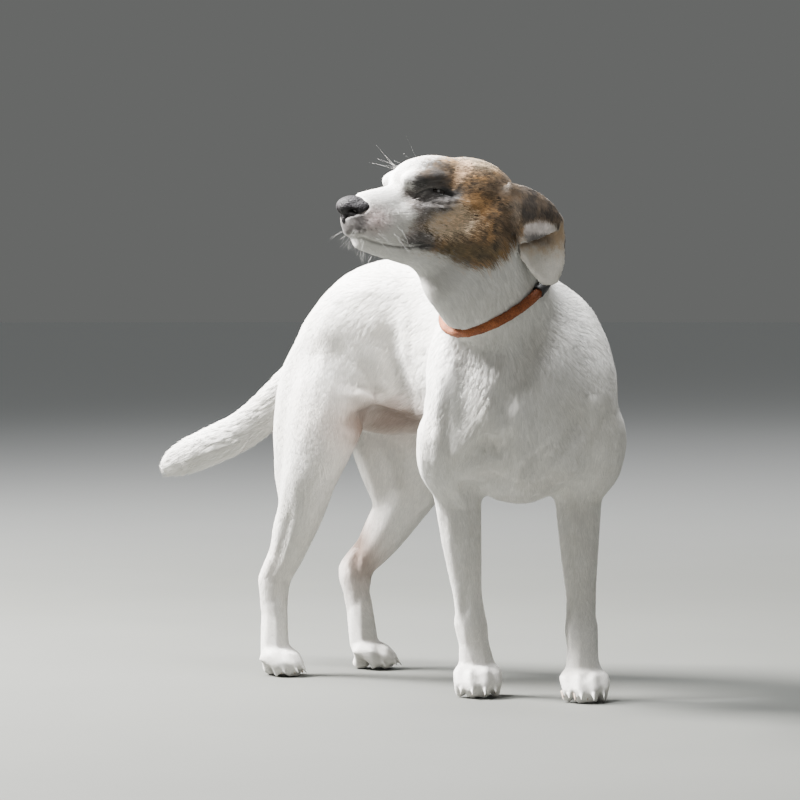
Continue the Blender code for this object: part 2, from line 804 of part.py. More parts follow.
def leg_forms():
    forms = []
    for side, hip, knee, ankle, heel, foot, _ in HIND_LEGS.values():
        forms += hind_leg_forms(side, hip, knee, ankle, heel, foot)
    for side, shoulder, elbow, wrist, foot, _ in FORE_LEGS.values():
        forms += fore_leg_forms(side, shoulder, elbow, wrist, foot)
    return forms


def make_paw(name, forms, foot, aim, size):
    """A paw from the ankle cut down, flat where it stands, with its claws joined on."""
    toes = paw_forms(foot, aim, size)
    paw = fuse(name, toes + forms, FINE_VOXEL, 5, PAW_TRIANGLES)
    keep_side(paw, Vector((0, 0, ANKLE_CUT - GAP)), Vector((0, 0, -1)))
    for claw in claws(foot, aim, size):
        boolean(paw, claw, "UNION")
        remove(claw)
    keep_side(paw, Vector((0, 0, 0)), Vector((0, 0, 1)))
    remove(*toes)
    return paw


def make_paws():
    paws = []
    for name, (side, hip, knee, ankle, heel, foot, aim) in HIND_LEGS.items():
        forms = hind_leg_forms(side, hip, knee, ankle, heel, foot)
        paws.append(make_paw("paw_hind_" + name, forms, trunk(*foot), aim, HIND_PAW_SIZE))
        remove(*forms)
    for name, (side, shoulder, elbow, wrist, foot, aim) in FORE_LEGS.items():
        forms = fore_leg_forms(side, shoulder, elbow, wrist, foot)
        paws.append(make_paw("paw_front_" + name, forms, trunk(*foot), aim, FORE_PAW_SIZE))
        remove(*forms)
    return paws


def make_head():
    """The head from the nape and throat forward, with seats for the eyes and the nose."""
    forms = head_forms() + neck_forms()
    for side in (1, -1):
        ahead, out, above = EYE_PLACE
        forms.append(egg_at("lids", (ahead, out * side, above), (LID_RADIUS,) * 3))
    skull = fuse("head", forms, FINE_VOXEL, 3, HEAD_TRIANGLES)
    remove(*forms)
    keep_side(skull, head(*HEAD_CUT) + GAP * head_direction(*HEAD_CUT_WAY), head_direction(*HEAD_CUT_WAY))
    return skull


def make_dog():
    forms = trunk_forms() + neck_forms() + head_forms() + tail_forms() + leg_forms()
    body = fuse("trunk", forms, BODY_VOXEL, 6, BODY_TRIANGLES)
    remove(*forms)
    keep_side(body, head(*HEAD_CUT), -head_direction(*HEAD_CUT_WAY))
    keep_side(body, Vector((0, 0, ANKLE_CUT)), Vector((0, 0, 1)))

    neck = duplicate(body, "neck")
    tilt = math.radians(NECK_CUT_TILT)
    way = math.sin(tilt) * forward(NECK_CUT[0]) + Vector((0, 0, math.cos(tilt)))
    neck_cut = trunk(*NECK_CUT)
    keep_side(neck, neck_cut + GAP * way, way)
    keep_side(body, neck_cut, -way)

    parts = [neck]
    for name, (side, *_, foot, _) in HIND_LEGS.items():
        parts.append(part_off(body, hind_region(side, foot), "leg_hind_" + name))
    for name, (side, *_, foot, _) in FORE_LEGS.items():
        parts.append(part_off(body, fore_region(side, foot), "leg_front_" + name))
    parts.append(part_off(body, tail_region(), "tail"))
    parts.append(body)
    parts += make_paws()
    skull = make_head()
    parts.append(skull)

    nose = make_nose()
    seat = swollen(nose, GAP)
    boolean(skull, seat)
    remove(seat)
    eyes = [make_eye("eye_left", 1), make_eye("eye_right", -1)]
    for side, eye in zip((1, -1), eyes):
        seat = swollen(eye, GAP)
        slit = eye_slit(side)
        boolean(skull, seat)
        boolean(skull, slit)
        remove(seat, slit)

    ears = [make_ear("ear_left", FOLDED_EAR), make_ear("ear_right", HANGING_EAR)]
    for flesh in (skull, neck):
        seat = swollen(flesh, GAP)
        for ear in ears:
            boolean(ear, seat)
        remove(seat)

    course = collar_course(neck)
    collar = tube("collar", course, COLLAR_RADIUS)
    seat = swollen(collar, GAP)
    for flesh in (neck, body):
        boolean(flesh, seat)
    keeper = sleeve("collar_keeper", course[KEEPER_FROM : KEEPER_FROM + 3], KEEPER_RADIUS, seat)
    buckle = sleeve("collar_buckle", course[BUCKLE_FROM : BUCKLE_FROM + 4], BUCKLE_RADIUS, seat)
    remove(seat)
    for piece in (keeper, buckle):
        seat = swollen(piece, GAP)
        boolean(neck, seat)
        boolean(ears[0], seat)
        remove(seat)

    for flesh in parts + ears:
        largest_piece(flesh)
        dress(flesh, "coat")
    for obj, material in ((nose, "nose_leather"), (eyes[0], "eye"), (eyes[1], "eye"),
                          (collar, "collar_leather"), (keeper, "keeper_leather"), (buckle, "steel")):
        dress(obj, material)
    return parts + ears + eyes + [nose, collar, keeper, buckle]


def dress(obj, material_name):
    obj.data.materials.clear()
    material = bpy.data.materials.get(material_name) or make_material(material_name)
    obj.data.materials.append(material)
    obj.data.shade_smooth()


def centre(parts):
    """Moves the meshes so that the origin is on the floor in the middle of their box."""
    corners = [vertex.co for obj in parts for vertex in obj.data.vertices]
    low = Vector([min(corner[axis] for corner in corners) for axis in range(3)])
    high = Vector([max(corner[axis] for corner in corners) for axis in range(3)])
    shift = Vector(((low.x + high.x) / -2, (low.y + high.y) / -2, -low.z))
    for obj in parts:
        obj.data.transform(Matrix.Translation(shift))
    return shift


for old in list(bpy.data.objects):
    bpy.data.objects.remove(old)
dog = make_dog()
centre(dog)
collection = bpy.data.collections.new("standing_dog")
bpy.context.scene.collection.children.link(collection)
for obj in dog:
    bpy.context.scene.collection.objects.unlink(obj)
    collection.objects.link(obj)
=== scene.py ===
# %% [markdown]
# # A standing short-haired dog
# This lesson dresses a still, life-size model of a white dog with a brindle patch over one
# side of its head. The solids of the frame hold its shape. Here they get a skin, a coat of
# small tufts, eyes, a nose, claws, whiskers and a collar.
# Everything is in metres, in the frame's own place: the dog stands on the floor at z = 0
# and its box is centred on the origin.

# %% Load the frame
import json
import math

import bpy
import numpy as np
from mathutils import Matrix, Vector
from mathutils.bvhtree import BVHTree
from mathutils.kdtree import KDTree

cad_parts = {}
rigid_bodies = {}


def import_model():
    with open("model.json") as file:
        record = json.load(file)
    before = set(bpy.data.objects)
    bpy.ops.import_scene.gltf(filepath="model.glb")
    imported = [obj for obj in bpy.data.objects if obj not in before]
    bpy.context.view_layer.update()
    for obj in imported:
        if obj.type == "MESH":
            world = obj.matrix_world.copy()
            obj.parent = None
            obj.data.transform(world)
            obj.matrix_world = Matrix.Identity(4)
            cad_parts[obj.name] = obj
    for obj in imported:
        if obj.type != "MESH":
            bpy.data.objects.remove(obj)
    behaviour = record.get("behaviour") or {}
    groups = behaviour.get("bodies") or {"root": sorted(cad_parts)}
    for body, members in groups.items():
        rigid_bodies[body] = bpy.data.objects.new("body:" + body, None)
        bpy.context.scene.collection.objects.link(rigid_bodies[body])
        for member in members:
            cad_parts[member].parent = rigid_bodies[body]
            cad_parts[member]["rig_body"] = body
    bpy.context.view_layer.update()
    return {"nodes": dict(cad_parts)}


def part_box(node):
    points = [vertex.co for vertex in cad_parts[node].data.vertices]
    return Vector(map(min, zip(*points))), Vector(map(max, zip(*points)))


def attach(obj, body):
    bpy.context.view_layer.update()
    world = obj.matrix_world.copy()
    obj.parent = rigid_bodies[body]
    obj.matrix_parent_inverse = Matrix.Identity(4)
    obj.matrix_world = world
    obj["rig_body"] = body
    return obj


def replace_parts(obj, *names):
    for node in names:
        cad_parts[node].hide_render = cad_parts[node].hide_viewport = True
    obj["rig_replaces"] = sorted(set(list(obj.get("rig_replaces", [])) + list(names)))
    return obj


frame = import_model()
dice = np.random.default_rng(11)

# %% [markdown]
# The camera comes first, so that every later piece can be looked at from the place that
# matters. It stands a few metres off the dog's front, at the height of its back, with a
# long lens. The lens is shifted down a little instead of tilting the camera, which keeps
# the legs upright.

# %% Camera
CAMERA_PLACE = (3.9855, -2.4678, 0.504)
CAMERA_WAY = Vector((-0.8435, 0.5371, 0.0))
bpy.ops.object.camera_add(location=CAMERA_PLACE)
camera = bpy.context.object
camera.rotation_euler = CAMERA_WAY.to_track_quat("-Z", "Y").to_euler()
camera.data.lens = 162
camera.data.sensor_width = 36
camera.data.shift_y = -0.1325
camera.data.clip_end = 100
bpy.context.scene.camera = camera
print("camera", camera.location[:])

# %% [markdown]
# A studio has a plain floor and large soft lamps. A strong lamp high on one side models
# the form, and a broad one overhead stands for the sky. Two weak ones soften the shadows
# from the front and from behind, and the world gives an even light from all round.

# %% Floor and light
FLOOR_RADIUS = 60.0
bpy.ops.mesh.primitive_circle_add(vertices=96, radius=FLOOR_RADIUS, fill_type="NGON")
floor = bpy.context.object
floor.name = "floor"

UP = Vector((0, 0, 1))
ASIDE = CAMERA_WAY.cross(UP)  # towards the right of the view
LAMPS_AIM = 0.35 * UP


def lamp(name, aside, away, height, size, power, colour):
    """A square soft lamp, placed from the dog as the camera sees it, aimed at the dog."""
    place = aside * ASIDE + away * CAMERA_WAY + height * UP
    bpy.ops.object.light_add(type="AREA", location=place)
    light = bpy.context.object
    light.name = name
    light.rotation_euler = (LAMPS_AIM - place).to_track_quat("-Z", "Y").to_euler()
    light.data.size = size
    light.data.energy = power
    light.data.color = colour


# name, aside, away, height, size, power, colour
lamp("key_lamp", -2.0, 0.5, 2.4, 1.0, 1060, (1.0, 0.985, 0.96))
lamp("sky_lamp", -0.2, 0.0, 3.2, 2.0, 290, (0.97, 0.99, 1.0))
lamp("fill_lamp", 1.2, -2.4, 1.9, 1.6, 9, (1.0, 1.0, 0.97))
lamp("back_lamp", 1.6, 1.9, 2.2, 1.5, 18, (1.0, 1.0, 1.0))

world = bpy.data.worlds.new("studio")
bpy.context.scene.world = world
world.use_nodes = True
world.node_tree.nodes["Background"].inputs["Color"].default_value = (0.81, 0.83, 0.81, 1)
world.node_tree.nodes["Background"].inputs["Strength"].default_value = 0.17

# %% [markdown]
# Places on the head are easier to say in the head's own measures: how far ahead of the
# nape, how far to its left, and how far up. The two eyes of the frame and their known
# places on the head give where its base is and which way it points.

# %% Head places
EYE_AHEAD, EYE_OUT, EYE_UP = 0.1270, 0.0310, 0.0725
EYE_RADIUS = 0.0105


def middle(node):
    low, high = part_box(node)
    return (low + high) / 2


eyes_between = (middle("eye_left") + middle("eye_right")) / 2
HEAD_LEFT = (middle("eye_left") - middle("eye_right")).normalized()
HEAD_AHEAD = HEAD_LEFT.cross(UP)
HEAD_BASE = eyes_between - EYE_AHEAD * HEAD_AHEAD - EYE_UP * UP
HEAD_TURN = np.array([HEAD_AHEAD, HEAD_LEFT, UP])


def on_head(ahead, left, up):
    """A head place as a point of the frame."""
    return HEAD_BASE + ahead * HEAD_AHEAD + left * HEAD_LEFT + up * UP


def head_places(points):
    """Rows of (ahead, left, up) for rows of points."""
    return (points - np.array(HEAD_BASE)) @ HEAD_TURN.T


print("head base", HEAD_BASE[:], "ahead", HEAD_AHEAD[:])

# %% [markdown]
# The face gets a lamp of its own: a narrow soft spot from high in front, aimed at the
# muzzle, so that the nose and lips stand out and the jaw still shades the neck.

# %% Lamp for the face
FACE_LAMP_AIM = on_head(0.190, 0.01, 0.060)
FACE_LAMP_PLACE = -1.0 * ASIDE - 0.9 * CAMERA_WAY + 2.7 * UP
bpy.ops.object.light_add(type="SPOT", location=FACE_LAMP_PLACE)
face_lamp = bpy.context.object
face_lamp.name = "face_lamp"
face_lamp.rotation_euler = (FACE_LAMP_AIM - face_lamp.location).to_track_quat("-Z", "Y").to_euler()
face_lamp.data.energy = 1000
face_lamp.data.shadow_soft_size = 0.06
face_lamp.data.spot_size = math.radians(6.4)
face_lamp.data.spot_blend = 0.9
print("face lamp", face_lamp.location[:])

# %% [markdown]
# Some helpers are used all the way through. One selects only what is named, because an
# operator acts on all that is selected. Others run a mesh operator, apply a modifier, or
# join, copy or smooth pieces. The rest read and write a mesh's points as rows of numbers,
# which is how a whole surface can be pushed, pulled and evened out at once.

# %% Helpers for meshes
def only(*objects):
    """Selects these objects alone; the first becomes the active one."""
    bpy.ops.object.select_all(action="DESELECT")
    for obj in objects:
        obj.select_set(True)
    bpy.context.view_layer.objects.active = objects[0]
    return objects[0]


def on_all(operator, **settings):
    """Runs a mesh operator on the whole of the active object's mesh."""
    bpy.ops.object.mode_set(mode="EDIT")
    bpy.ops.mesh.select_all(action="SELECT")
    operator(**settings)
    bpy.ops.object.mode_set(mode="OBJECT")


def joined(objects, name):
    """Joins objects into the first one, under this name."""
    whole = only(*objects)
    bpy.ops.object.join()
    whole.name = whole.data.name = name
    return whole


def smooth(obj):
    only(obj)
    bpy.ops.object.shade_smooth()


def rows_of(items, what, width, kind=np.float32):
    """What each item holds under a name, as rows of this width."""
    rows = np.empty(len(items) * width, kind)
    items.foreach_get(what, rows)
    return rows.reshape(-1, width)


def points_of(obj, what="co"):
    """The places (co) or the normals (normal) of all points, as rows."""
    return rows_of(obj.data.vertices, what, 3).astype(float)


def set_points(obj, points):
    obj.data.vertices.foreach_set("co", points.astype(np.float32).ravel())
    obj.data.update()


def edges_of(obj):
    return rows_of(obj.data.edges, "vertices", 2, np.int32)


def triangles_of(obj):
    return sum(len(face.vertices) - 2 for face in obj.data.polygons)


def added(name, data):
    """A new object in the scene, for a mesh or a curve."""
    obj = bpy.data.objects.new(name, data)
    bpy.context.scene.collection.objects.link(obj)
    return obj


def twin(obj):
    """A copy in the scene, with a mesh of its own."""
    copy = obj.copy()
    copy.data = obj.data.copy()
    bpy.context.scene.collection.objects.link(copy)
    return copy


def grow(values, start, room):
    """0 up to a start, then growing evenly to 1 over the room; negative room turns it round."""
    return np.clip((values - start) / room, 0, 1)


def even_out(values, edges, share):
    """Moves each row of values by a share of the way to the mean of its neighbours."""
    count = len(values)
    ends = np.bincount(edges.ravel(), minlength=count)
    mean = np.empty_like(values)
    for axis in range(values.shape[1]):
        total = np.bincount(edges[:, 0], values[edges[:, 1], axis], count)
        total += np.bincount(edges[:, 1], values[edges[:, 0], axis], count)
        mean[:, axis] = total / np.maximum(ends, 1)
    return values + share * (mean - values)


def apply(obj, kind, **settings):
    """Adds one modifier with these settings and applies it."""
    only(obj)
    modifier = obj.modifiers.new("step", kind)
    for key, value in settings.items():
        setattr(modifier, key, value)
    bpy.ops.object.modifier_apply(modifier="step")


def copy_of(node, name):
    """A merged copy of a CAD node's mesh, as an object of its own."""
    copy = twin(frame["nodes"][node])
    copy.name = name
    copy.parent = None
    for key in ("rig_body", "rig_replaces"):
        if key in copy:
            del copy[key]
    only(copy)
    on_all(bpy.ops.mesh.remove_doubles, threshold=0.00001)
    copy.data.materials.clear()
    return copy


print("helpers ready")

# %% [markdown]
# The frame's flesh is in fourteen solids with hair-thin gaps. A real dog has one skin, so
# the copies are swollen by a hair, joined, and remeshed on a fine grid, which melts them
# into one surface. Balls over the eyes close the lids, to be opened by a stroke later, and
# the nose's seat is filled.

# %% One skin out of all the flesh
FLESH = ["head", "neck", "trunk", "tail"]
FLESH += [f"{part}_{pair}_{side}" for part in ("leg", "paw") for pair in ("front", "hind")
          for side in ("left", "right")]
FLESH += ["ear_left", "ear_right"]
LID_RADIUS = 0.0124
SKIN_GRID = 0.0020
SWELL, EAR_SWELL = 0.0005, 0.0002

copies = []
labels = []
for node in FLESH + ["nose"]:
    copy = copy_of(node, "copy_" + node)
    swell = EAR_SWELL if node.startswith("ear") else SWELL
    set_points(copy, points_of(copy) + swell * points_of(copy, "normal"))
    copies.append(copy)
    labels += [FLESH.index(node) if node in FLESH else 0] * len(copy.data.polygons)
for side in (1, -1):
    place = on_head(EYE_AHEAD, EYE_OUT * side, EYE_UP)
    bpy.ops.mesh.primitive_uv_sphere_add(segments=24, ring_count=16, radius=LID_RADIUS,
                                         location=place)
    copies.append(only(bpy.context.object))
    bpy.ops.object.transform_apply()
    labels += [0] * len(copies[-1].data.polygons)
skin = joined(copies, "skin")
labels = np.array(labels)
nearest_flesh = BVHTree.FromPolygons([v.co for v in skin.data.vertices],
                                     [list(p.vertices) for p in skin.data.polygons])


def flesh_at(points):
    """The number, in FLESH, of the solid that lies nearest to each point."""
    return np.array([labels[nearest_flesh.find_nearest(p)[2]] for p in points.tolist()])


apply(skin, "REMESH", mode="VOXEL", voxel_size=SKIN_GRID)
print("skin faces", len(skin.data.polygons))

# %% [markdown]
# The grid leaves faint steps and still shows the flat facets of the solids. Letting each
# point drift towards its neighbours wipes them out. The ears are thin and the toes small,
# so they drift less.

# %% Smooth the skin
# only the outer surface is kept: what isn't linked to the rearmost point lies inside it
bpy.ops.object.mode_set(mode="EDIT")
bpy.ops.mesh.select_all(action="DESELECT")
bpy.ops.object.mode_set(mode="OBJECT")
skin.data.vertices[int(np.argmin(points_of(skin)[:, 0]))].select = True
bpy.ops.object.mode_set(mode="EDIT")
bpy.ops.mesh.select_linked()
bpy.ops.mesh.select_all(action="INVERT")
bpy.ops.mesh.delete(type="VERT")
bpy.ops.object.mode_set(mode="OBJECT")

FLESH_KINDS = np.array([node.split("_")[0] for node in FLESH])
DRIFT = {"ear": 0.12, "paw": 0.16, "head": 0.34}  # half of the way elsewhere
points = points_of(skin)
edges = edges_of(skin)
share = np.array([DRIFT.get(kind, 0.5) for kind in FLESH_KINDS])[flesh_at(points)][:, None]
for _ in range(6):
    share = even_out(share, edges, 0.5)
for _ in range(22):
    points = even_out(points, edges, share)
# where neck and breast meet, the skin is drawn taut: middle, reach, rounds
TAUT = (((0.337, 0.062, 0.428), 0.075, 60), ((0.268, -0.046, 0.392), 0.050, 40))
for centre, reach, rounds in TAUT:
    share = 0.5 * np.exp(-(((points - centre) / reach) ** 2).sum(1))[:, None]
    for _ in range(rounds):
        points = even_out(points, edges, share)
set_points(skin, points)
print("skin points", len(points))

# %% [markdown]
# The trunk needs few faces and the face needs many. Faces away from the head, ears and
# paws are thinned, and those round the eyes, mouth and muzzle are split once more, so that
# lids and lips can be drawn with strokes a millimetre or two wide.

# %% Few faces on the trunk, many on the face
THINNED_SHARE = 0.30
FACE_FROM = 0.090  # ahead of the nape


def on_faces(obj, chosen, operator, **settings):
    """Runs a mesh operator on the chosen faces of an object."""
    only(obj)
    bpy.ops.object.mode_set(mode="EDIT")
    bpy.ops.mesh.select_all(action="DESELECT")
    bpy.ops.mesh.select_mode(type="FACE")
    bpy.ops.object.mode_set(mode="OBJECT")
    obj.data.polygons.foreach_set("select", chosen)
    bpy.ops.object.mode_set(mode="EDIT")
    operator(**settings)
    bpy.ops.object.mode_set(mode="OBJECT")


def face_middles(obj):
    return rows_of(obj.data.polygons, "center", 3).astype(float)


broad = ~np.isin(FLESH_KINDS[flesh_at(face_middles(skin))], ("head", "ear", "paw"))
on_faces(skin, broad, bpy.ops.mesh.decimate, ratio=THINNED_SHARE)
middles = face_middles(skin)
on_face = (head_places(middles)[:, 0] > FACE_FROM) & (flesh_at(middles) == FLESH.index("head"))
on_faces(skin, on_face, bpy.ops.mesh.subdivide, number_cuts=1)
points = points_of(skin)
edges = edges_of(skin)
front = (head_places(points)[:, 0] > FACE_FROM - 0.005)[:, None] * 0.5
for _ in range(4):
    points = even_out(points, edges, front)
places = head_places(points)
muzzle_tip = grow(places[:, 0], 0.205, 0.012) * grow(places[:, 2], 0.040, -0.008)
for _ in range(40):
    points = even_out(points, edges, 0.5 * muzzle_tip[:, None])
set_points(skin, points)
print("skin faces", len(skin.data.polygons))

# %% [markdown]
# Sculpting by strokes: a stroke is a line on the side of the head, given by how far ahead
# and how far up it runs. Points near it move in or out along their own normal, most in its
# middle and nothing at its edge. Both sides get the same strokes, as a face is even.

# %% Strokes on the head
def from_line(flat, line):
    """Distance of flat points from a line of (x, y, strength) rows, and its strength there."""
    best = np.full(len(flat), 1e9)
    force = np.zeros(len(flat))
    for (x0, y0, s0), (x1, y1, s1) in zip(line, line[1:]):
        way = np.array([x1 - x0, y1 - y0])
        along = np.clip(((flat - (x0, y0)) @ way) / (way @ way), 0, 1)
        gap = np.linalg.norm(flat - (x0, y0) - along[:, None] * way, axis=1)
        nearer = gap < best
        best[nearer] = gap[nearer]
        force[nearer] = (s0 + (s1 - s0) * along)[nearer]
    return best, force


def pressed(flat, line, width, depth):
    """How far a stroke along a line presses each flat point."""
    gap, force = from_line(flat, line)
    return np.clip(1 - (gap / width) ** 2, 0, 1) ** 2 * force * depth


def stroke(points, normals, line, width, depth, axes=(0, 2), sides=(1, -1), reach=None):
    """Moves points near a line of head places by depth, inwards if depth is positive.

    The line runs ahead and up, or aside and up if the axes are (1, 2).
    """
    places = head_places(points)
    for side in sides:
        near = places[:, 1] * side > 0 if axes == (0, 2) else np.ones(len(points), bool)
        if reach is not None:
            near &= reach(places)
        index = np.flatnonzero(near)
        flat = places[index][:, list(axes)].copy()
        if axes == (1, 2):
            flat[:, 0] *= side
        points[index] -= normals[index] * pressed(flat, line, width, depth)[:, None]
    return points


LIP_LINE = ((0.2390, 0.0228, 0.5), (0.2234, 0.0192, 0.9), (0.2075, 0.0135, 1.0),
            (0.1950, 0.0105, 1.0), (0.1767, 0.0078, 1.0), (0.1591, 0.0066, 1.0),
            (0.1440, 0.0088, 0.9), (0.1330, 0.0120, 0.3))
LID_SLIT = ((0.1389, 0.0770, 0.5), (0.1340, 0.0757, 1.0), (0.1260, 0.0742, 1.0),
            (0.1190, 0.0730, 1.0), (0.1110, 0.0700, 0.7), (0.1060, 0.0685, 0.1))
INNER_LID = ((0.1560, 0.0662, 1.0), (0.1525, 0.0715, 1.0), (0.1457, 0.0760, 1.0),
             (0.1389, 0.0770, 0.9))
INNER_FOLD = ((0.1490, 0.0635, 0.8), (0.1460, 0.0675, 1.0), (0.1430, 0.0700, 0.2))
UPPER_CREASE = ((0.1520, 0.0800, 0.3), (0.1460, 0.0825, 0.9), (0.1380, 0.0845, 1.0),
                (0.1270, 0.0845, 1.0), (0.1150, 0.0815, 0.9), (0.1050, 0.0740, 0.3))
LOWER_CREASE = ((0.1500, 0.0600, 0.3), (0.1400, 0.0590, 1.0), (0.1270, 0.0588, 1.0),
                (0.1120, 0.0600, 0.4))
TEAR_LINE = ((0.1660, 0.0640, 1.0), (0.1760, 0.0580, 0.8), (0.1950, 0.0530, 0.2))
CHEEK_EDGE = ((0.1180, 0.0150, 0.4), (0.1060, 0.0000, 1.0), (0.0900, -0.0100, 0.6))
BROW_EDGE = ((0.1600, 0.0820, 0.4), (0.1480, 0.0900, 1.0), (0.1250, 0.0930, 0.8),
             (0.1050, 0.0880, 0.3))


def off_midline(gap):
    """A test for head places that lie further than this from the midline."""
    return lambda places: np.abs(places[:, 1]) > gap


near_eye = off_midline(0.016)
clear_of_middle = off_midline(0.004)


# line, width, depth, test; the last two swell the upper lip and press in below the lower one
normals = points_of(skin, "normal")
for line, width, depth, reach in (
    (TEAR_LINE, 0.0110, 0.0014, near_eye),
    (CHEEK_EDGE, 0.0120, 0.0012, None),
    (BROW_EDGE, 0.0090, -0.0010, near_eye),
    (UPPER_CREASE, 0.0040, 0.0010, near_eye),
    (LOWER_CREASE, 0.0044, 0.0011, near_eye),
    (INNER_LID, 0.0018, 0.0016, near_eye),
    (INNER_FOLD, 0.0018, 0.0008, near_eye),
    (LID_SLIT, 0.0034, 0.0050, near_eye),
    (LIP_LINE, 0.0030, 0.0028, None),
    ([(x, y + 0.0040, force) for x, y, force in LIP_LINE], 0.0045, -0.0010, None),
    ([(x, y - 0.0045, force) for x, y, force in LIP_LINE], 0.0035, 0.0006, None),
):
    points = stroke(points, normals, line, width, depth, reach=reach)
set_points(skin, points)
print("strokes done")

# %% [markdown]
# The breast, the flank and the legs get broader strokes. They are drawn as on a board set
# up across the way that the breast faces: how far to the side, and how far above the floor.
# Each stroke only touches what faces that way and lies between two distances ahead.

# %% Strokes on the body
BREAST_WAY = np.array([0.8435, -0.5371, 0.0])
BOARD = np.array([[0.5371, 0.8435, 0.0], [0.0, 0.0, 1.0]])
BREAST = (0.126, 0.50)
FLANK = (-0.25, 0.126)
BODY_STROKES = (
    # distances ahead, width, depth (below zero if raised), line of (aside, above, strength)
    (BREAST, 0.030, 0.0085,
     ((0.242, 0.470, 0.4), (0.226, 0.440, 1.0), (0.208, 0.408, 1.0), (0.198, 0.388, 0.3))),
    (BREAST, 0.014, -0.0044,
     ((0.110, 0.402, 0.3), (0.106, 0.370, 1.0), (0.106, 0.330, 1.0), (0.110, 0.296, 0.3))),
    (BREAST, 0.012, 0.0024,
     ((0.121, 0.395, 0.3), (0.119, 0.365, 1.0), (0.120, 0.325, 1.0), (0.123, 0.300, 0.3))),
    (BREAST, 0.026, -0.0044, ((0.152, 0.374, 0.6), (0.168, 0.358, 1.0), (0.180, 0.345, 0.8))),
    (BREAST, 0.016, 0.0058,
     ((0.124, 0.288, 0.6), (0.140, 0.301, 1.0), (0.162, 0.318, 1.0), (0.178, 0.314, 1.0),
      (0.194, 0.326, 0.4))),
    (BREAST, 0.009, 0.0045,
     ((0.195, 0.334, 0.5), (0.193, 0.312, 1.0), (0.194, 0.286, 1.0), (0.195, 0.270, 0.3))),
    (BREAST, 0.018, 0.0056,
     ((0.216, 0.285, 0.5), (0.236, 0.302, 1.0), (0.260, 0.322, 1.0), (0.276, 0.344, 0.4))),
    (BREAST, 0.014, -0.0046, ((0.294, 0.372, 0.6), (0.293, 0.350, 1.0), (0.288, 0.326, 0.5))),
    (BREAST, 0.016, 0.0060, ((0.154, 0.262, 0.5), (0.170, 0.272, 1.0), (0.184, 0.270, 0.6))),
    (BREAST, 0.010, -0.0044, ((0.126, 0.262, 0.8), (0.134, 0.252, 1.0), (0.138, 0.244, 0.5))),
    (BREAST, 0.007, 0.0024,
     ((0.147, 0.248, 0.5), (0.151, 0.215, 1.0), (0.146, 0.160, 0.8), (0.140, 0.110, 0.3))),
    (BREAST, 0.008, 0.0022, ((0.266, 0.240, 0.5), (0.272, 0.190, 1.0), (0.268, 0.130, 0.6))),
    (FLANK, 0.012, -0.0080,
     ((-0.016, 0.376, 0.3), (0.006, 0.372, 1.0), (0.034, 0.366, 1.0), (0.064, 0.354, 0.6))),
    (FLANK, 0.024, 0.0200,
     ((0.002, 0.340, 0.6), (0.028, 0.338, 1.0), (0.056, 0.330, 1.0), (0.084, 0.320, 0.5))),
    (FLANK, 0.020, 0.0085,
     ((0.044, 0.470, 0.3), (0.047, 0.425, 1.0), (0.059, 0.385, 1.0), (0.074, 0.356, 0.4))),
    (FLANK, 0.018, -0.0040, ((0.070, 0.470, 0.3), (0.074, 0.425, 1.0), (0.086, 0.385, 0.8))),
    (FLANK, 0.022, 0.0062, ((-0.024, 0.440, 0.4), (-0.014, 0.400, 1.0), (0.000, 0.366, 0.8))),
    (FLANK, 0.011, 0.0024,
     ((-0.084, 0.248, 0.3), (-0.088, 0.210, 1.0), (-0.100, 0.170, 1.0), (-0.110, 0.130, 0.4))),
    (FLANK, 0.009, 0.0034,
     ((0.010, 0.214, 0.3), (0.002, 0.176, 1.0), (-0.001, 0.140, 1.0), (0.005, 0.100, 0.4))),
)
normals = points_of(skin, "normal")
board = points @ BOARD.T
ahead = points @ BREAST_WAY
facing = grow(normals @ BREAST_WAY, -0.05, 0.3)
for (from_there, to_there), width, depth, line in BODY_STROKES:
    fall = pressed(board, line, width, depth) * facing
    fall *= (ahead > from_there) & (ahead < to_there)
    points -= normals * fall[:, None]
set_points(skin, points)
print("body strokes done")

# %% [markdown]
# The coat lies on top of the skin, so the skin sinks by the coat's depth: a hair's breadth
# on the ears and face, more on the trunk and neck.

# %% Sink the skin under its coat
NOSE_MIDDLE, NOSE_REACH = (0.2230, 0.0, 0.0545), (0.0205, 0.0235, 0.0165)
DEPTH = {"head": 0.0008, "neck": 0.0016, "trunk": 0.0016, "tail": 0.0016, "leg": 0.0006,
         "paw": 0.0004, "ear": 0.0004}
flesh = flesh_at(points)
depth = np.array([DEPTH[kind] for kind in FLESH_KINDS])[flesh][:, None]
for _ in range(12):
    depth = even_out(depth, edges, 0.5)
points -= points_of(skin, "normal") * depth
to_nose = np.linalg.norm((head_places(points) - NOSE_MIDDLE) / NOSE_REACH, axis=1)
points -= points_of(skin, "normal") * (0.0062 * grow(to_nose, 1.08, -0.30))[:, None]
points[:, 2] = np.maximum(points[:, 2], 0.0)
set_points(skin, points)
smooth(skin)
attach(skin, "root")
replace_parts(skin, *FLESH)
print("skin triangles", triangles_of(skin))

# %% [markdown]
# Finishes are built from nodes. Writing them as sums keeps them readable, so a small class
# stands for a number on its way between nodes, and adding or multiplying two of them adds
# the Math node. One method makes every other node.

# %% Sums for finishes
class Wire:
    """A number or colour on its way from one node to another."""

    def __init__(self, finish, socket):
        self.finish, self.socket = finish, socket

    def sum(self, operation, first, second=0.0):
        return self.finish.node("ShaderNodeMath", {"operation": operation}, {0: first, 1: second})

    def __add__(self, other):
        return self.sum("ADD", self, other)

    def __sub__(self, other):
        return self.sum("SUBTRACT", self, other)

    def __mul__(self, other):
        return self.sum("MULTIPLY", self, other)

    def __rsub__(self, other):
        return self.sum("SUBTRACT", other, self)

    def __pow__(self, other):
        return self.sum("POWER", self, other)


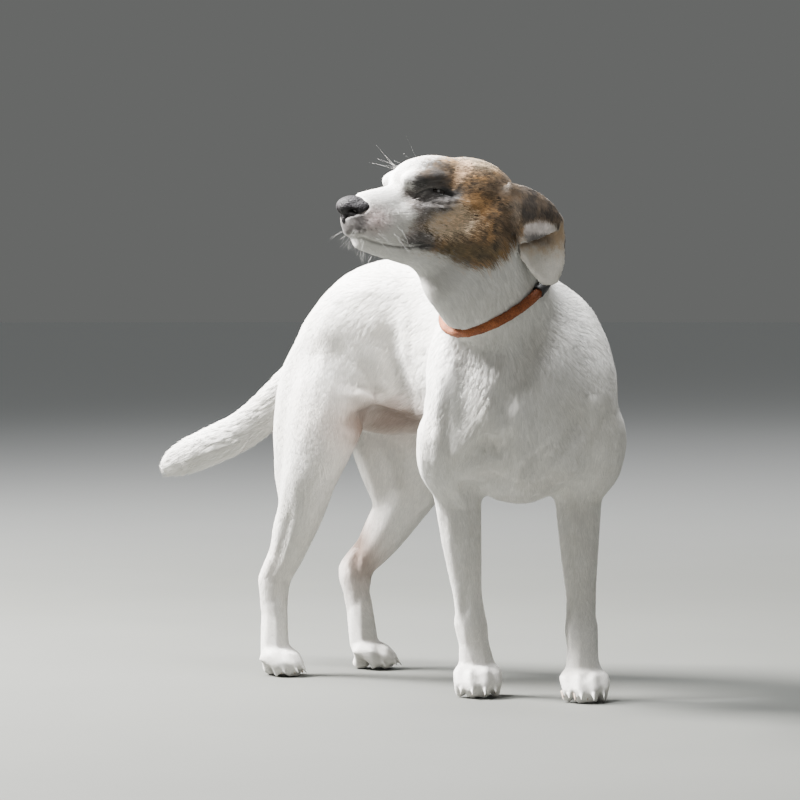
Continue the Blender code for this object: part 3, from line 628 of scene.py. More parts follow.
class Finish:
    """A material whose one shader is fed by nodes; what is the same all over is set on it."""

    def __init__(self, name, **same_all_over):
        self.material = bpy.data.materials.new(name)
        self.material.use_nodes = True
        self.tree = self.material.node_tree
        self.shader = self.tree.nodes["Principled BSDF"]
        for key, value in same_all_over.items():
            self.shader.inputs[key.replace("_", " ")].default_value = value

    def node(self, kind, settings, sockets, output=0):
        made = self.tree.nodes.new(kind)
        for key, value in settings.items():
            if key == "stops":
                ramp = made.color_ramp
                while len(ramp.elements) < len(value):
                    ramp.elements.new(0.5)
                for element, (place, colour) in zip(ramp.elements, value):
                    element.position, element.color = place, (*colour, 1)
            else:
                setattr(made, key, value)
        for key, value in sockets.items():
            if isinstance(value, Wire):
                self.tree.links.new(value.socket, made.inputs[key])
            else:
                made.inputs[key].default_value = value
        return Wire(self, made.outputs[output])

    def place(self):
        return self.node("ShaderNodeTexCoord", {}, {}, "Object")

    def attribute(self, name, output="Fac"):
        return self.node("ShaderNodeAttribute", {"attribute_name": name}, {}, output)

    def vector(self, operation, sockets, output=0):
        return self.node("ShaderNodeVectorMath", {"operation": operation}, sockets, output)

    def dot(self, vector, way):
        return self.vector("DOT_PRODUCT", {0: vector, 1: tuple(way)}, "Value")

    def stretch(self, vector, by):
        return self.vector("MULTIPLY", {0: vector, 1: by})

    def head_place(self, place):
        """How far ahead and how far up a place lies, in the head's own measures."""
        offset = self.vector("SUBTRACT", {0: place, 1: tuple(HEAD_BASE)})
        return self.dot(offset, HEAD_AHEAD), self.dot(offset, UP)

    def noise(self, vector, scale, detail=3.0, roughness=0.55):
        return self.node("ShaderNodeTexNoise", {}, {"Vector": vector, "Scale": scale,
                                                    "Detail": detail, "Roughness": roughness})

    def cells(self, vector, scale, feature="F1"):
        return self.node("ShaderNodeTexVoronoi", {"feature": feature},
                         {"Vector": vector, "Scale": scale}, "Distance")

    def ease(self, value, low, high):
        """0 below low and 1 above high, with a soft step between."""
        return self.node("ShaderNodeMapRange", {"interpolation_type": "SMOOTHSTEP"},
                         {"Value": value, "From Min": low, "From Max": high})

    def mix(self, factor, first, second):
        def colour(value):
            return value if isinstance(value, Wire) else (*value, 1)

        return self.node("ShaderNodeMix", {"data_type": "RGBA"},
                         {0: factor, 6: colour(first), 7: colour(second)}, 2)

    def tinted(self, colour, by):
        """A colour made lighter or darker by a number."""
        return self.vector("SCALE", {0: colour, "Scale": by})

    def ramp(self, value, stops):
        return self.node("ShaderNodeValToRGB", {"stops": stops}, {"Fac": value})

    def bump(self, height, strength, distance):
        return self.node("ShaderNodeBump", {},
                         {"Height": height, "Strength": strength, "Distance": distance})

    def feed(self, **wires):
        for key, wire in wires.items():
            self.tree.links.new(wire.socket, self.shader.inputs[key.replace("_", " ")])

    def dress(self, obj):
        obj.data.materials.clear()
        obj.data.materials.append(self.material)


print("finishes ready")

# %% [markdown]
# The markings are sums over places on the head, so that skin and coat can carry the very
# same ones. The patch's outline is given as places ahead and up on the left side of the
# head, and the distance from it is stored with the skin. Inside it, soft spots of ash, tan,
# orange and black lie over a mottled brown, and noise frays its edge as hair does.

# %% The markings
WHITE = (0.83, 0.81, 0.775)
CREAM = (0.72, 0.68, 0.60)
PINK = (0.64, 0.51, 0.485)
PEACH = (0.72, 0.47, 0.28)
TAN = (0.50, 0.385, 0.255)
SAND = (0.88, 0.69, 0.48)
ORANGE = (0.43, 0.235, 0.090)
BROWN = (0.115, 0.078, 0.048)
OLIVE = (0.135, 0.100, 0.050)
SOOT = (0.026, 0.025, 0.024)
ASH = (0.160, 0.148, 0.143)
FROST = (0.40, 0.365, 0.355)
DUST = (0.25, 0.200, 0.155)
RUSSET = (0.235, 0.155, 0.088)
NOSE_SHADE = (0.10, 0.088, 0.085)

PATCH_OUTLINE = ((0.058, 0.125), (0.082, 0.122), (0.109, 0.120), (0.134, 0.114), (0.151, 0.105),
                 (0.162, 0.094), (0.165, 0.079), (0.169, 0.068), (0.165, 0.057), (0.158, 0.046),
                 (0.160, 0.037), (0.166, 0.028), (0.173, 0.018), (0.169, 0.010), (0.150, 0.004),
                 (0.131, 0.000), (0.115, -0.004), (0.095, -0.016), (0.078, -0.019), (0.062, -0.014),
                 (0.048, -0.005), (0.038, 0.004), (0.026, 0.018), (0.008, 0.028), (-0.03, 0.040),
                 (-0.03, 0.110), (0.020, 0.128))
# each: tone, then its middle and its reach (ahead, up), how far in it is full, how much
PATCH_SPOTS = (
    (ORANGE, (0.086, 0.058, 0.036, 0.022), 0.7, 0.80),
    (SAND, (0.118, 0.040, 0.040, 0.028), 0.6, 0.82),
    (PEACH, (0.119, 0.040, 0.028, 0.018), 0.8, 0.45),
    (OLIVE, (0.092, 0.003, 0.052, 0.015), 0.7, 0.75),
    (TAN, (0.062, 0.108, 0.030, 0.010), 0.7, 0.60),
    (SOOT, (0.067, 0.045, 0.018, 0.006), 0.9, 0.45),
    (BROWN, (0.062, 0.078, 0.016, 0.014), 0.8, 0.55),
    (BROWN, (0.040, 0.030, 0.014, 0.026), 0.6, 0.80),
    (DUST, (0.033, 0.056, 0.012, 0.022), 0.7, 0.80),
    (BROWN, (0.038, 0.082, 0.024, 0.016), 0.5, 0.92),
    (ASH, (0.138, 0.071, 0.040, 0.030), 0.45, 0.88),
    (FROST, (0.128, 0.0940, 0.023, 0.0115), 0.8, 0.12),
    (SOOT, (0.136, 0.0990, 0.032, 0.0180), 0.7, 0.82),
    (PEACH, (0.1100, 0.0795, 0.0070, 0.0090), 0.6, 0.85),
    (PEACH, (0.1035, 0.0895, 0.0080, 0.0090), 0.6, 0.90),
    (PEACH, (0.0960, 0.0985, 0.0090, 0.0090), 0.6, 0.90),
    (PEACH, (0.0850, 0.1075, 0.0110, 0.0080), 0.6, 0.75),
    (FROST, (0.138, 0.0625, 0.026, 0.0060), 0.9, 0.20),
    (SOOT, (0.155, 0.084, 0.017, 0.013), 0.6, 0.75),
    (SOOT, (0.119, 0.0725, 0.026, 0.0100), 0.55, 0.93),
    (SOOT, (0.127, 0.0540, 0.017, 0.0065), 0.7, 0.65),
    (ASH, (0.153, 0.048, 0.020, 0.018), 0.6, 0.75),
    (FROST, (0.162, 0.026, 0.020, 0.016), 0.7, 0.55),
    (ASH, (0.152, 0.013, 0.026, 0.014), 0.5, 0.80),
    (SOOT, (0.150, 0.0095, 0.024, 0.0065), 0.6, 0.85),
)
# other ovals: middle and reach (ahead, up)
GRIZZLED = (0.146, 0.044, 0.036, 0.044)
MUZZLE_SIDE = (0.206, 0.040, 0.034, 0.028)
BESIDE_NOSE = (0.2374, 0.0370, 0.027, 0.022)


def spot(x, y, middle_x, middle_y, reach_x, reach_y):
    """1 in the middle of an oval, 0 at its edge and less beyond."""
    across = (x - middle_x) * (1 / reach_x)
    above = (y - middle_y) * (1 / reach_y)
    return 1 - (across * across + above * above) ** 0.5


def markings(finish, place, hair):
    """The colour of hair at a place; the hair wire varies from one hair to the next."""
    ahead, up = finish.head_place(place)
    fray = finish.noise(place, 260, 4, 0.75) - 0.5
    blot = finish.noise(place, 52, 3, 0.55) - 0.5
    x = ahead + blot * 0.008 + fray * 0.012
    y = up + blot * 0.009 - fray * 0.010
    patch = finish.attribute("patch") + blot * 0.5 + fray * 1.3 + (hair - 0.5) * 0.9
    patch = finish.ease(patch, -0.34, 0.40)

    streak = finish.stretch(place, (1.0, 1.0, 0.45))
    bands = finish.noise(streak, 95, 3, 0.6)
    mottle = bands * 0.55 + blot * 0.75 + hair * 0.36 + fray * 0.35 + 0.03
    colour = finish.ramp(mottle, ((0.18, SOOT), (0.36, BROWN), (0.52, RUSSET),
                                  (0.68, ORANGE), (0.88, TAN)))
    for tone, numbers, full_at, amount in PATCH_SPOTS:
        mask = finish.ease(spot(x, y, *numbers) + (hair - 0.5) * 0.75 + fray * 0.7, 0.0, full_at)
        colour = finish.mix(mask * amount, colour, tone)
    # pale hairs scattered through the dark round the eye and at the lip's corner
    grizzle = finish.ease(spot(x, y, *GRIZZLED), 0.0, 0.35)
    grizzle = grizzle * finish.ease(hair + fray * 0.8, 0.52, 0.86)
    colour = finish.mix(grizzle * 0.75, colour, FROST)
    colour = finish.tinted(colour, hair * 1.10 + 0.45)

    white = finish.mix(finish.ease(finish.noise(place, 17, 3), 0.35, 0.75) * 0.30, WHITE, CREAM)
    muzzle = finish.ease(spot(ahead, up, *MUZZLE_SIDE), 0.0, 0.9)
    white = finish.mix(muzzle * (fray * 1.2 + 0.85), white, PINK)
    pores = finish.ease(finish.cells(place, 185), 0.30, 0.16) * muzzle
    white = finish.mix(pores * 0.85, white, ASH)
    nose_edge = finish.ease(spot(ahead, up, *BESIDE_NOSE) + fray * 0.7, 0.0, 0.45)
    white = finish.mix(nose_edge * 0.92, white, NOSE_SHADE)
    return finish.mix(patch, white, colour), mottle


print("markings ready")

# %% [markdown]
# Some tones follow the form and not a place: the outer side of an ear is dark, its lining
# is pink and nearly bare, lips and lids have dark rims, and thin-haired skin in the groin
# shows rosy. With the dark rims goes painted shade in the creases by the eyes, in the lid
# slit and in the slit under the ear's rolled edge. These are worked out once for every
# point of the skin and stored with it, and each tuft later takes the values at its own root.

# %% Tones that follow the form
# down the middle of the space that the folded ear encloses, as head places
FOLD_MIDDLE = ((0.030, 0.0505, 0.035), (0.014, 0.0565, 0.030), (-0.001, 0.0575, 0.024),
               (-0.017, 0.0570, 0.020), (-0.032, 0.0545, 0.016))
LEAF_BELOW = 0.000  # under this height the ear is a single leaf
LINING_BELOW = 0.055  # over this height only the outer side shows
# the left ear's rolled edge lies under an arch, above its lobe and on its outer side
ARCH_TOP, ARCH_MIDDLE, ARCH_BEND = 0.0412, 0.003, 14
STRIP_ABOVE, STRIP_OUTSIDE = 0.004, 0.0590
# further ahead and up than this the ear is part of the head
ROOT_AHEAD, ROOT_ABOVE = 0.026, 0.024
# rosy places: middle, reach, amount
ROSY = (((0.002, 0.045, 0.334), (0.080, 0.070, 0.036), 1.0),
        ((-0.130, 0.094, 0.160), (0.035, 0.030, 0.050), 0.85),
        ((-0.143, -0.045, 0.150), (0.030, 0.030, 0.045), 0.25))
PATCH_EDGE = 0.014  # over this width the patch goes from all to nothing
# dark lines: line, how far their dark reaches, amount. The lips and the lid margins are dark
# skin; the dark in the upper crease and the inner fold is painted shade, and the wide dark
# round the lid slit is dark margin and painted shade together.
RIMS_AND_CREASE_SHADE = ((LIP_LINE, 0.0019, 0.80), (LID_SLIT, 0.0052, 1.0), (INNER_LID, 0.0015, 0.9),
        (INNER_FOLD, 0.0012, 0.5), (UPPER_CREASE, 0.0016, 0.35))


def ear_sides(points, normals, flesh):
    """1 on an ear's outer side, on its lining and on its rolled edge, for each point."""
    places = head_places(points)
    ways = normals @ HEAD_TURN.T
    nearest = np.full(len(points), 1e9)
    inward = np.zeros(len(points))
    for row in FOLD_MIDDLE:
        gap = np.linalg.norm(places - row, axis=1)
        closer = gap < nearest
        nearest[closer] = gap[closer]
        inward[closer] = ((row - places) * ways).sum(1)[closer]
    lining = np.where(places[:, 2] < LEAF_BELOW, ways[:, 1] > 0, inward > 0)
    on_left = flesh == FLESH.index("ear_left")
    on_right = flesh == FLESH.index("ear_right")
    lining = np.where(on_right, ways[:, 1] > 0, lining)
    ahead, left, up = places.T
    strip = on_left & (up < ARCH_TOP - ARCH_BEND * (ahead - ARCH_MIDDLE) ** 2)
    strip &= (up > STRIP_ABOVE) & (left > STRIP_OUTSIDE) & (ways[:, 1] > 0)
    lining = (lining & (on_left | on_right) & (up < LINING_BELOW)) | strip
    at_root = (ahead > ROOT_AHEAD) & (up > ROOT_ABOVE)
    at_root |= (ahead > 0.0175 + 0.5 * (up - 0.008)) & (up > 0.008) & strip
    lining &= ~at_root
    strip &= ~at_root
    outer = (on_left | on_right) & ~lining & ~(at_root & on_left)
    return outer.astype(float), lining.astype(float), strip.astype(float)


def inside_outline(flat, outline):
    """How deep flat points lie inside a closed outline; below zero outside it."""
    closed = [(x, y, 1.0) for x, y in outline + outline[:1]]
    gap = from_line(flat, closed)[0]
    crossings = np.zeros(len(flat), int)
    for (x0, y0, _), (x1, y1, _) in zip(closed, closed[1:]):
        spans = (y0 > flat[:, 1]) != (y1 > flat[:, 1])
        with np.errstate(divide="ignore", invalid="ignore"):
            at = x0 + (flat[:, 1] - y0) * (x1 - x0) / (y1 - y0)
        crossings += spans & (flat[:, 0] < at)
    return np.where(crossings % 2 == 1, gap, -gap)


points = points_of(skin)
normals = points_of(skin, "normal")
edges = edges_of(skin)
flesh = flesh_at(points)
kind = FLESH_KINDS[flesh]
pair = np.array([(node.split("_") + [""])[1] for node in FLESH])[flesh]
places = head_places(points)
sideways = places[:, [0, 2]]
outer, lining, strip = ear_sides(points, normals, flesh)
rosy = sum(amount * np.exp(-(((points - middle_of) / reach) ** 2).sum(1))
           for middle_of, reach, amount in ROSY)
rosy += 0.10 * np.clip(-normals[:, 2] - 0.25, 0, 1) * (kind == "trunk")
# the patch ends at its outline and at the head's midline, and behind the crown runs past it
past_midline = 0.002 + 0.055 * grow(places[:, 0], 0.060, -0.03)
depth_inside = np.minimum(inside_outline(sideways, PATCH_OUTLINE), places[:, 1] + past_midline)
on_patch_solids = np.isin(flesh, [FLESH.index(node) for node in ("head", "neck", "ear_left")])
patch = np.where(on_patch_solids, np.clip(depth_inside / PATCH_EDGE, -1.5, 1.5), -1.5)
rim = np.zeros(len(points))
for line, room, amount in RIMS_AND_CREASE_SHADE:
    gap, force = from_line(sideways, line)
    rim = np.maximum(rim, amount * force * np.exp(-(gap / room) ** 2))
rim *= (kind == "head") & off_midline(0.006)(places)
# painted shade in the slit under the ear's rolled edge and on the underside of the roll, kept with
# the dark rims
ear_slit_shade = (lining - strip) * np.exp(-((places[:, 2] - 0.017) / 0.007) ** 2)
ear_slit_shade *= (flesh == FLESH.index("ear_left")) * grow(places[:, 0], -0.024, 0.012)
roll_underside_shade = strip * grow(places[:, 2], 0.0258, -0.003) * grow(places[:, 0], -0.010, 0.004)
roll_underside_shade *= 1 - 0.15 * grow(places[:, 0], 0.014, 0.006)
rim = np.maximum(rim, np.maximum(0.85 * ear_slit_shade, 0.90 * roll_underside_shade))
tones = np.stack([outer, lining, strip, patch, np.clip(rosy, 0, 1), rim], 1)
tones[:, :3] = even_out(tones[:, :3], edges, 0.5)
for _ in range(6):
    tones[:, 4:5] = even_out(tones[:, 4:5], edges, 0.5)
TONES = ("ear_outer", "ear_lining", "ear_strip", "patch", "rosy", "rim")


def store(obj, name, values):
    layer = obj.data.attributes.new(name, "FLOAT", "POINT")
    layer.data.foreach_set("value", values.astype(np.float32))


for column, name in enumerate(TONES):
    store(skin, name, tones[:, column])
print("tones stored")

# %% [markdown]
# Skin and coat share one way of colouring, fed either by the skin's own place or by the
# place of a tuft's root. On the skin a fine bump stands for the hairs too small to model.

# %% Finish of skin and coat
LEAF_PINK = (0.70, 0.655, 0.585)
LEAF_SHADOW_BROWN = (0.38, 0.255, 0.140)
STRIP_PINK = (0.84, 0.76, 0.72)
STRIP_GREY_AND_SHADE = (0.36, 0.31, 0.30)
BARE_PINK = (0.60, 0.40, 0.33)
GROIN_SHADOW = (0.135, 0.078, 0.050)
EAR_DARK, EAR_BROWN = (0.040, 0.031, 0.026), (0.19, 0.135, 0.090)
RIM_AND_SHADE_BLACK = (0.030, 0.026, 0.026)


def coat_colour(finish, place, hair):
    colour, mottle = markings(finish, place, hair)
    up = finish.dot(place, UP) - HEAD_BASE.z
    fine = finish.noise(place, 120, 4, 0.65)
    # the lining is painted brown towards its top, as painted shadow that the fold casts on it
    leaf = finish.mix(finish.ease(up + (fine - 0.5) * 0.05, -0.014, 0.022), LEAF_PINK, LEAF_SHADOW_BROWN)
    blotches = finish.ease(finish.noise(place, 75, 3), 0.42, 0.62)
    roll = finish.mix(blotches * 0.48, STRIP_PINK, STRIP_GREY_AND_SHADE)
    # the roll is painted greyer towards its top, as painted shade that rounds it
    roll = finish.mix(finish.ease(up, 0.0330, 0.0405) * 0.35, roll, STRIP_GREY_AND_SHADE)
    leaf = finish.mix(finish.attribute("ear_strip"), leaf, roll)
    leaf = finish.tinted(leaf, fine * 0.7 + 0.65)
    outside = finish.mix(finish.ease(mottle, 0.30, 0.85), EAR_DARK, EAR_BROWN)
    colour = finish.mix(finish.attribute("ear_outer"), colour, outside)
    colour = finish.mix(finish.attribute("ear_lining") * 0.92, colour, leaf)
    rosy = finish.attribute("rosy")
    colour = finish.mix(rosy * 0.80, colour, BARE_PINK)
    # painted shadow in the pocket of the groin, where the skin is rosiest
    colour = finish.mix(finish.ease(rosy, 0.30, 0.90) * 0.90, colour, GROIN_SHADOW)
    # dark rims of lips and lids, with the painted shade of the creases and slits
    return finish.mix(finish.attribute("rim") * 0.92, colour, RIM_AND_SHADE_BLACK)


skin_finish = Finish("dog_skin", Roughness=0.62, Sheen_Weight=0.15)
place = skin_finish.place()
hair = skin_finish.noise(place, 620, 2, 0.6)
# the skin is a little darker than the coat, as painted shade down among the tufts
skin_finish.feed(Base_Color=skin_finish.tinted(coat_colour(skin_finish, place, hair), 0.86),
                 Normal=skin_finish.bump(hair, 0.5, 0.0006))
skin_finish.dress(skin)

coat_finish = Finish("dog_coat", Roughness=0.55, Sheen_Weight=0.10, Sheen_Roughness=0.4)
shade = coat_finish.attribute("shade")
colour = coat_colour(coat_finish, coat_finish.attribute("root", "Vector"), shade)
coat_finish.feed(Base_Color=coat_finish.tinted(colour, shade * 0.36 + 0.79))
print("skin and coat finished")

# %% [markdown]
# Hair lies in streams: back from the nose, down the neck, back and down along the ribs,
# down the legs and out along the tail. Each part of the body states its own direction,
# and evening those out over the skin turns the seams between them into smooth bends.

# %% Lie of the coat
HEADINGS = (math.radians(24), math.radians(-34))  # the back's, at the croup and the withers
PAW_PLACES = {
    # the ball of each paw on the floor, and the angle that it points at
    "paw_front_left": ((0.3285, 0.1225), math.radians(-30)),
    "paw_front_right": ((0.2169, 0.0467), math.radians(-32)),
    "paw_hind_left": ((-0.1390, 0.0900), math.radians(38)),
    "paw_hind_right": ((-0.1290, -0.0460), math.radians(14)),
}
NOSE_SOURCE = on_head(0.262, 0.0, 0.052)
EAR_TIPS = {"ear_left": on_head(-0.008, 0.064, -0.060), "ear_right": on_head(0.022, -0.078, -0.040)}
TAIL_TIP = Vector((-0.400, -0.070, 0.262))
NECK_WAY = (-0.078, 0.112, -0.185)  # down the neck


def unit(rows):
    return rows / np.maximum(np.linalg.norm(rows, axis=1), 1e-9)[:, None]


def laid(rows, normals):
    """Directions laid into the surface."""
    return unit(rows - (rows * normals).sum(1)[:, None] * normals)


def back_way(points):
    """Towards the tail, along a back that bends between croup and withers."""
    turned = grow(points[:, 0], -0.10, 0.33)
    turned = turned * turned * (3 - 2 * turned)
    angle = HEADINGS[0] + (HEADINGS[1] - HEADINGS[0]) * turned
    return -np.stack([np.cos(angle), np.sin(angle), 0 * angle], 1)


back = back_way(points)
facing_front = np.clip(-(normals * back).sum(1), 0, 1)[:, None]
beside = (1 - np.abs(normals[:, 2]))[:, None]
down = np.array([0, 0, -1.0])
lie = np.zeros_like(points)
for number, node in enumerate(FLESH):
    here = flesh == number
    if node == "head":
        lie[here] = unit(points[here] - np.array(NOSE_SOURCE)) + 0.20 * beside[here] * down
    elif node == "neck":
        lie[here] = NECK_WAY
    elif node == "trunk":
        lie[here] = back[here] + (0.55 * beside + 1.6 * facing_front)[here] * down
        from_middle = np.clip((points[here] @ BOARD[0] - 0.195) / 0.06, -1, 1)[:, None]
        lie[here] += 0.75 * from_middle * facing_front[here] * BOARD[0]
    elif node == "tail":
        lie[here] = unit(np.array(TAIL_TIP) - points[here])
    elif node.startswith("leg"):
        lie[here] = down + 0.25 * back[here]
    elif node.startswith("paw"):
        angle = PAW_PLACES[node][1]
        lie[here] = np.array([math.cos(angle), math.sin(angle), -0.7])
    else:
        lie[here] = unit(np.array(EAR_TIPS[node]) - points[here])
lie = laid(unit(lie), normals)
for _ in range(50):
    lie = laid(even_out(lie, edges, 0.6), normals)
print("lie of the coat ready")

# %% [markdown]
# How long, wide, raised and close together the tufts are also depends on the part: they
# are shortest on the muzzle and paws and longest under the tail and behind the thighs.
# These measures are evened out over the skin as well, so that nothing changes in a step.

# %% Measures of the coat
# part: length, width, rise of the tip, tufts for each square metre
COAT = {
    "head": (0.0052, 0.00064, 0.0008, 640e3),
    "neck": (0.0125, 0.00095, 0.0019, 350e3),
    "trunk": (0.0115, 0.00100, 0.0013, 320e3),
    "tail": (0.0200, 0.00115, 0.0044, 420e3),
    "leg": (0.0080, 0.00085, 0.0010, 370e3),
    "paw": (0.0044, 0.00070, 0.0007, 420e3),
    "ear": (0.0044, 0.00060, 0.0008, 520e3),
}
measures = np.array([COAT[k] for k in kind])
on_head_part = kind == "head"
muzzle = grow(places[:, 0], 0.13, 0.06) * on_head_part
measures[:, 0] *= 1 - 0.40 * muzzle
measures[:, 1] *= 1 - 0.20 * muzzle
measures[:, 3] *= 1 - 0.75 * lining
under_jaw = grow(places[:, 2], 0, -0.02) * on_head_part
under_tail = (kind == "tail") * np.clip(-normals[:, 2], 0, 1)
behind_thigh = (kind == "leg") & (pair == "hind") & (points[:, 2] > 0.22)
behind_thigh = behind_thigh * np.clip((normals * back).sum(1) - 0.2, 0, 1)
for where, column, more in ((under_jaw, 0, 0.0030), (under_tail, 0, 0.0100),
                            (under_tail, 2, 0.0012), (behind_thigh, 0, 0.0060)):
    measures[:, column] += more * where
for _ in range(14):
    measures = even_out(measures, edges, 0.5)
print("measures of the coat ready")

# %% [markdown]
# Each tuft is a flat closed spike of four triangles, rooted just under the skin. Its tip is
# dropped to the surface in front of it and lifted by its rise, so the coat hugs every curve.
# Places are drawn triangle by triangle in even steps, which spreads them without clumps.

# %% Grow the tufts
skin.data.calc_loop_triangles()
corners = rows_of(skin.data.loop_triangles, "vertices", 3, np.int32)
surface = BVHTree.FromPolygons(points.tolist(), corners.tolist())

a, b, c = (points[corners[:, k]] for k in range(3))
area = np.linalg.norm(np.cross(b - a, c - a), axis=1) / 2
wanted = np.cumsum(area * measures[corners, 3].mean(1))
TUFTS = int(wanted[-1])
steps = (np.arange(TUFTS) + dice.random(TUFTS)) * (wanted[-1] / TUFTS)
which = np.searchsorted(wanted, steps).clip(0, len(wanted) - 1)
first, second = dice.random(TUFTS), dice.random(TUFTS)
flip = first + second > 1
first[flip], second[flip] = 1 - first[flip], 1 - second[flip]
blend = np.stack([1 - first - second, first, second], 1)


def at_roots(values):
    return (values[corners[which]] * blend[:, :, None]).sum(1)


roots = at_roots(points)
root_normals = unit(at_roots(normals))
root_ways = laid(at_roots(lie), root_normals)
root_measures = at_roots(measures)
root_tones = at_roots(tones)
root_flesh = flesh[corners[which, 0]]
print("area", round(area.sum(), 3), "tufts", TUFTS)

# %% [markdown]
# A few places stay bare: the nose's leather, the open slit of the lids, the line of the
# lips, the soles, and the strip of neck that the collar presses.

# %% Leave bare what is bare
SOLES_BELOW, COLLAR_PRESSES = 0.004, 0.0052
root_places = head_places(roots)
bare = (((root_places - NOSE_MIDDLE) / NOSE_REACH) ** 2).sum(1) < 0.94
sideways = root_places[:, [0, 2]]
for line, room in ((LID_SLIT, 0.0022), (INNER_LID, 0.0010)):
    gap, force = from_line(sideways, line)
    bare |= (gap < room) & (force > 0.45) & near_eye(root_places)
bare |= (from_line(sideways, LIP_LINE)[0] < 0.0013) & clear_of_middle(root_places)
bare |= roots[:, 2] < SOLES_BELOW

collar_copy = copy_of("collar", "collar_course")
rings = points_of(collar_copy)
collar_middle = rings.mean(0)
collar_axis = np.linalg.svd(rings - collar_middle)[2][2]
collar_axis *= np.sign(collar_axis[2])
flat_x = unit(np.cross(collar_axis, (0, 0, 1.0))[None])[0]
flat_y = np.cross(collar_axis, flat_x)
turns = np.arctan2((rings - collar_middle) @ flat_y, (rings - collar_middle) @ flat_x)

# the collar's course: the mean of the ring's points near each of these turns round it
COURSE_STEPS, TURN_REACH = 64, 0.09
course = []
for turn in np.linspace(-math.pi, math.pi, COURSE_STEPS, endpoint=False):
    away = np.abs((turns - turn + math.pi) % (2 * math.pi) - math.pi)
    close = np.exp(-(away / TURN_REACH) ** 2)
    course.append((rings * close[:, None]).sum(0) / close.sum())
course = np.array(course)
bpy.data.objects.remove(collar_copy)
round_neck = np.flatnonzero(np.isin(root_flesh, [FLESH.index("neck"), FLESH.index("trunk")]))
near_collar = np.array([((course - root) ** 2).sum(1).min() for root in roots[round_neck]])
bare[round_neck] |= near_collar < COLLAR_PRESSES ** 2

keep = ~bare
roots, root_normals, root_ways = roots[keep], root_normals[keep], root_ways[keep]
root_measures, root_tones, root_flesh = root_measures[keep], root_tones[keep], root_flesh[keep]
TUFTS = len(roots)
print("tufts kept", TUFTS)

# %% [markdown]
# Real hair is never quite parallel. Each tuft turns a little by chance, and a slow wave of
# turning runs through the coat too. Hairs also gather into small locks: each tuft draws its
# tip towards that of the nearest lock's middle, shares its lift, and takes light as part of
# one rounded strand.

# %% Turn, cut and set the tufts
def waves(points, scale, seed):
    """A smooth random value near each point, from a few slanting waves."""
    pick = np.random.default_rng(seed)
    total = np.zeros(len(points))
    for _ in range(7):
        way = pick.normal(size=3)
        way *= scale * pick.uniform(0.6, 1.5) / np.linalg.norm(way)
        total += np.sin(points @ way * 2 * math.pi + pick.uniform(0, 6.28))
    return total / 2.6


root_kind = FLESH_KINDS[root_flesh]
# two slow waves of turning, and a little by chance
lean = 0.06 * waves(roots, 22, 3) + 0.07 * waves(roots, 70, 4) + 0.10 * dice.normal(size=TUFTS)
across = np.cross(root_normals, root_ways)
root_ways = np.cos(lean)[:, None] * root_ways + np.sin(lean)[:, None] * across
across = np.cross(root_normals, root_ways)
length = root_measures[:, 0] * (0.78 + 0.44 * dice.random(TUFTS))
width = root_measures[:, 1] * (0.75 + 0.5 * dice.random(TUFTS))

# part: how many tufts make a lock, and how far the lock draws their tips together
LOCKS = {"head": (7, 0.12), "neck": (8, 0.26), "trunk": (7, 0.22), "tail": (9, 0.44),
         "leg": (6, 0.08), "paw": (6, 0.05), "ear": (6, 0.08)}
LOCK_ROUNDING = 0.0030  # half of a lock's width
SUNK = 0.0003  # how deep a tuft's root lies
tufts_in_lock = np.array([LOCKS[k][0] for k in root_kind])
draw = np.array([LOCKS[k][1] for k in root_kind])[:, None]
middles_of = np.flatnonzero(dice.random(TUFTS) < 1 / tufts_in_lock)
lock_tree = KDTree(len(middles_of))
for number, place_of in enumerate(roots[middles_of].tolist()):
    lock_tree.insert(place_of, number)
lock_tree.balance()
lock = np.fromiter((lock_tree.find(place_of)[1] for place_of in roots.tolist()), int, TUFTS)
lock_luck = dice.random(len(middles_of))[lock]
lock_middle = middles_of[lock]
rise = root_measures[:, 2] * (0.35 + 0.6 * dice.random(TUFTS) + 0.3 * lock_luck)
aimed = roots + root_ways * length[:, None]
aimed += draw * (aimed[lock_middle] - aimed)
off_middle = ((roots - roots[lock_middle]) * across).sum(1)
off_middle = np.clip(off_middle / LOCK_ROUNDING, -1, 1)[:, None]
tips = np.empty_like(roots)
for k, target in enumerate(aimed.tolist()):
    landing, normal, _, _ = surface.find_nearest(target)
    height = rise[k]
    tips[k] = (landing[0] + normal[0] * height, landing[1] + normal[1] * height,
               landing[2] + normal[2] * height)
tips[:, 2] = np.maximum(tips[:, 2], 0.0004)
half = across * (width / 2)[:, None]
sunk = roots - root_normals * SUNK
ridge = roots + root_normals * (0.0002 + width * 0.35)[:, None]
spikes = np.stack([sunk - half, sunk + half, ridge, tips], 1)
# light falls on the coat as on one soft surface, so each spike leans its normals to the skin's
strand = root_normals + 0.9 * draw * off_middle * across
soft = np.stack([strand - 0.50 * across, strand + 0.50 * across,
                 strand - 0.10 * root_ways, strand + 0.25 * root_ways], 1)
soft /= np.linalg.norm(soft, axis=2)[:, :, None]
SPIKE_FACES = np.array([(0, 2, 1), (0, 1, 3), (1, 2, 3), (2, 0, 3)])
shades = dice.random(TUFTS) * 0.55 + lock_luck * 0.45
print("tufts shaped")

# %% [markdown]
# The coat is parted into pieces of fewer than two hundred thousand triangles. Each piece is
# unrolled round its own long axis: a root's angle round the axis and its distance along it
# give its place on the map, and the whole tuft gets a tiny patch there.

# %% Coat pieces with their map
PATCH_SIZE = 0.003


def unrolled(points):
    """Places from 0 to 1 by unrolling points round the longest axis of their cloud."""
    middle_point = points.mean(0)
    some = points[:: max(1, len(points) // 4000)] - middle_point
    axes = np.linalg.svd(some, full_matrices=False)[2]
    along, x, y = ((points - middle_point) @ axes.T).T
    turn = np.arctan2(y, x) / (2 * math.pi) + 0.5
    rest = (along - along.min()) / np.ptp(along)
    return np.stack([turn, rest], 1) * (1 - 2 * PATCH_SIZE) + PATCH_SIZE


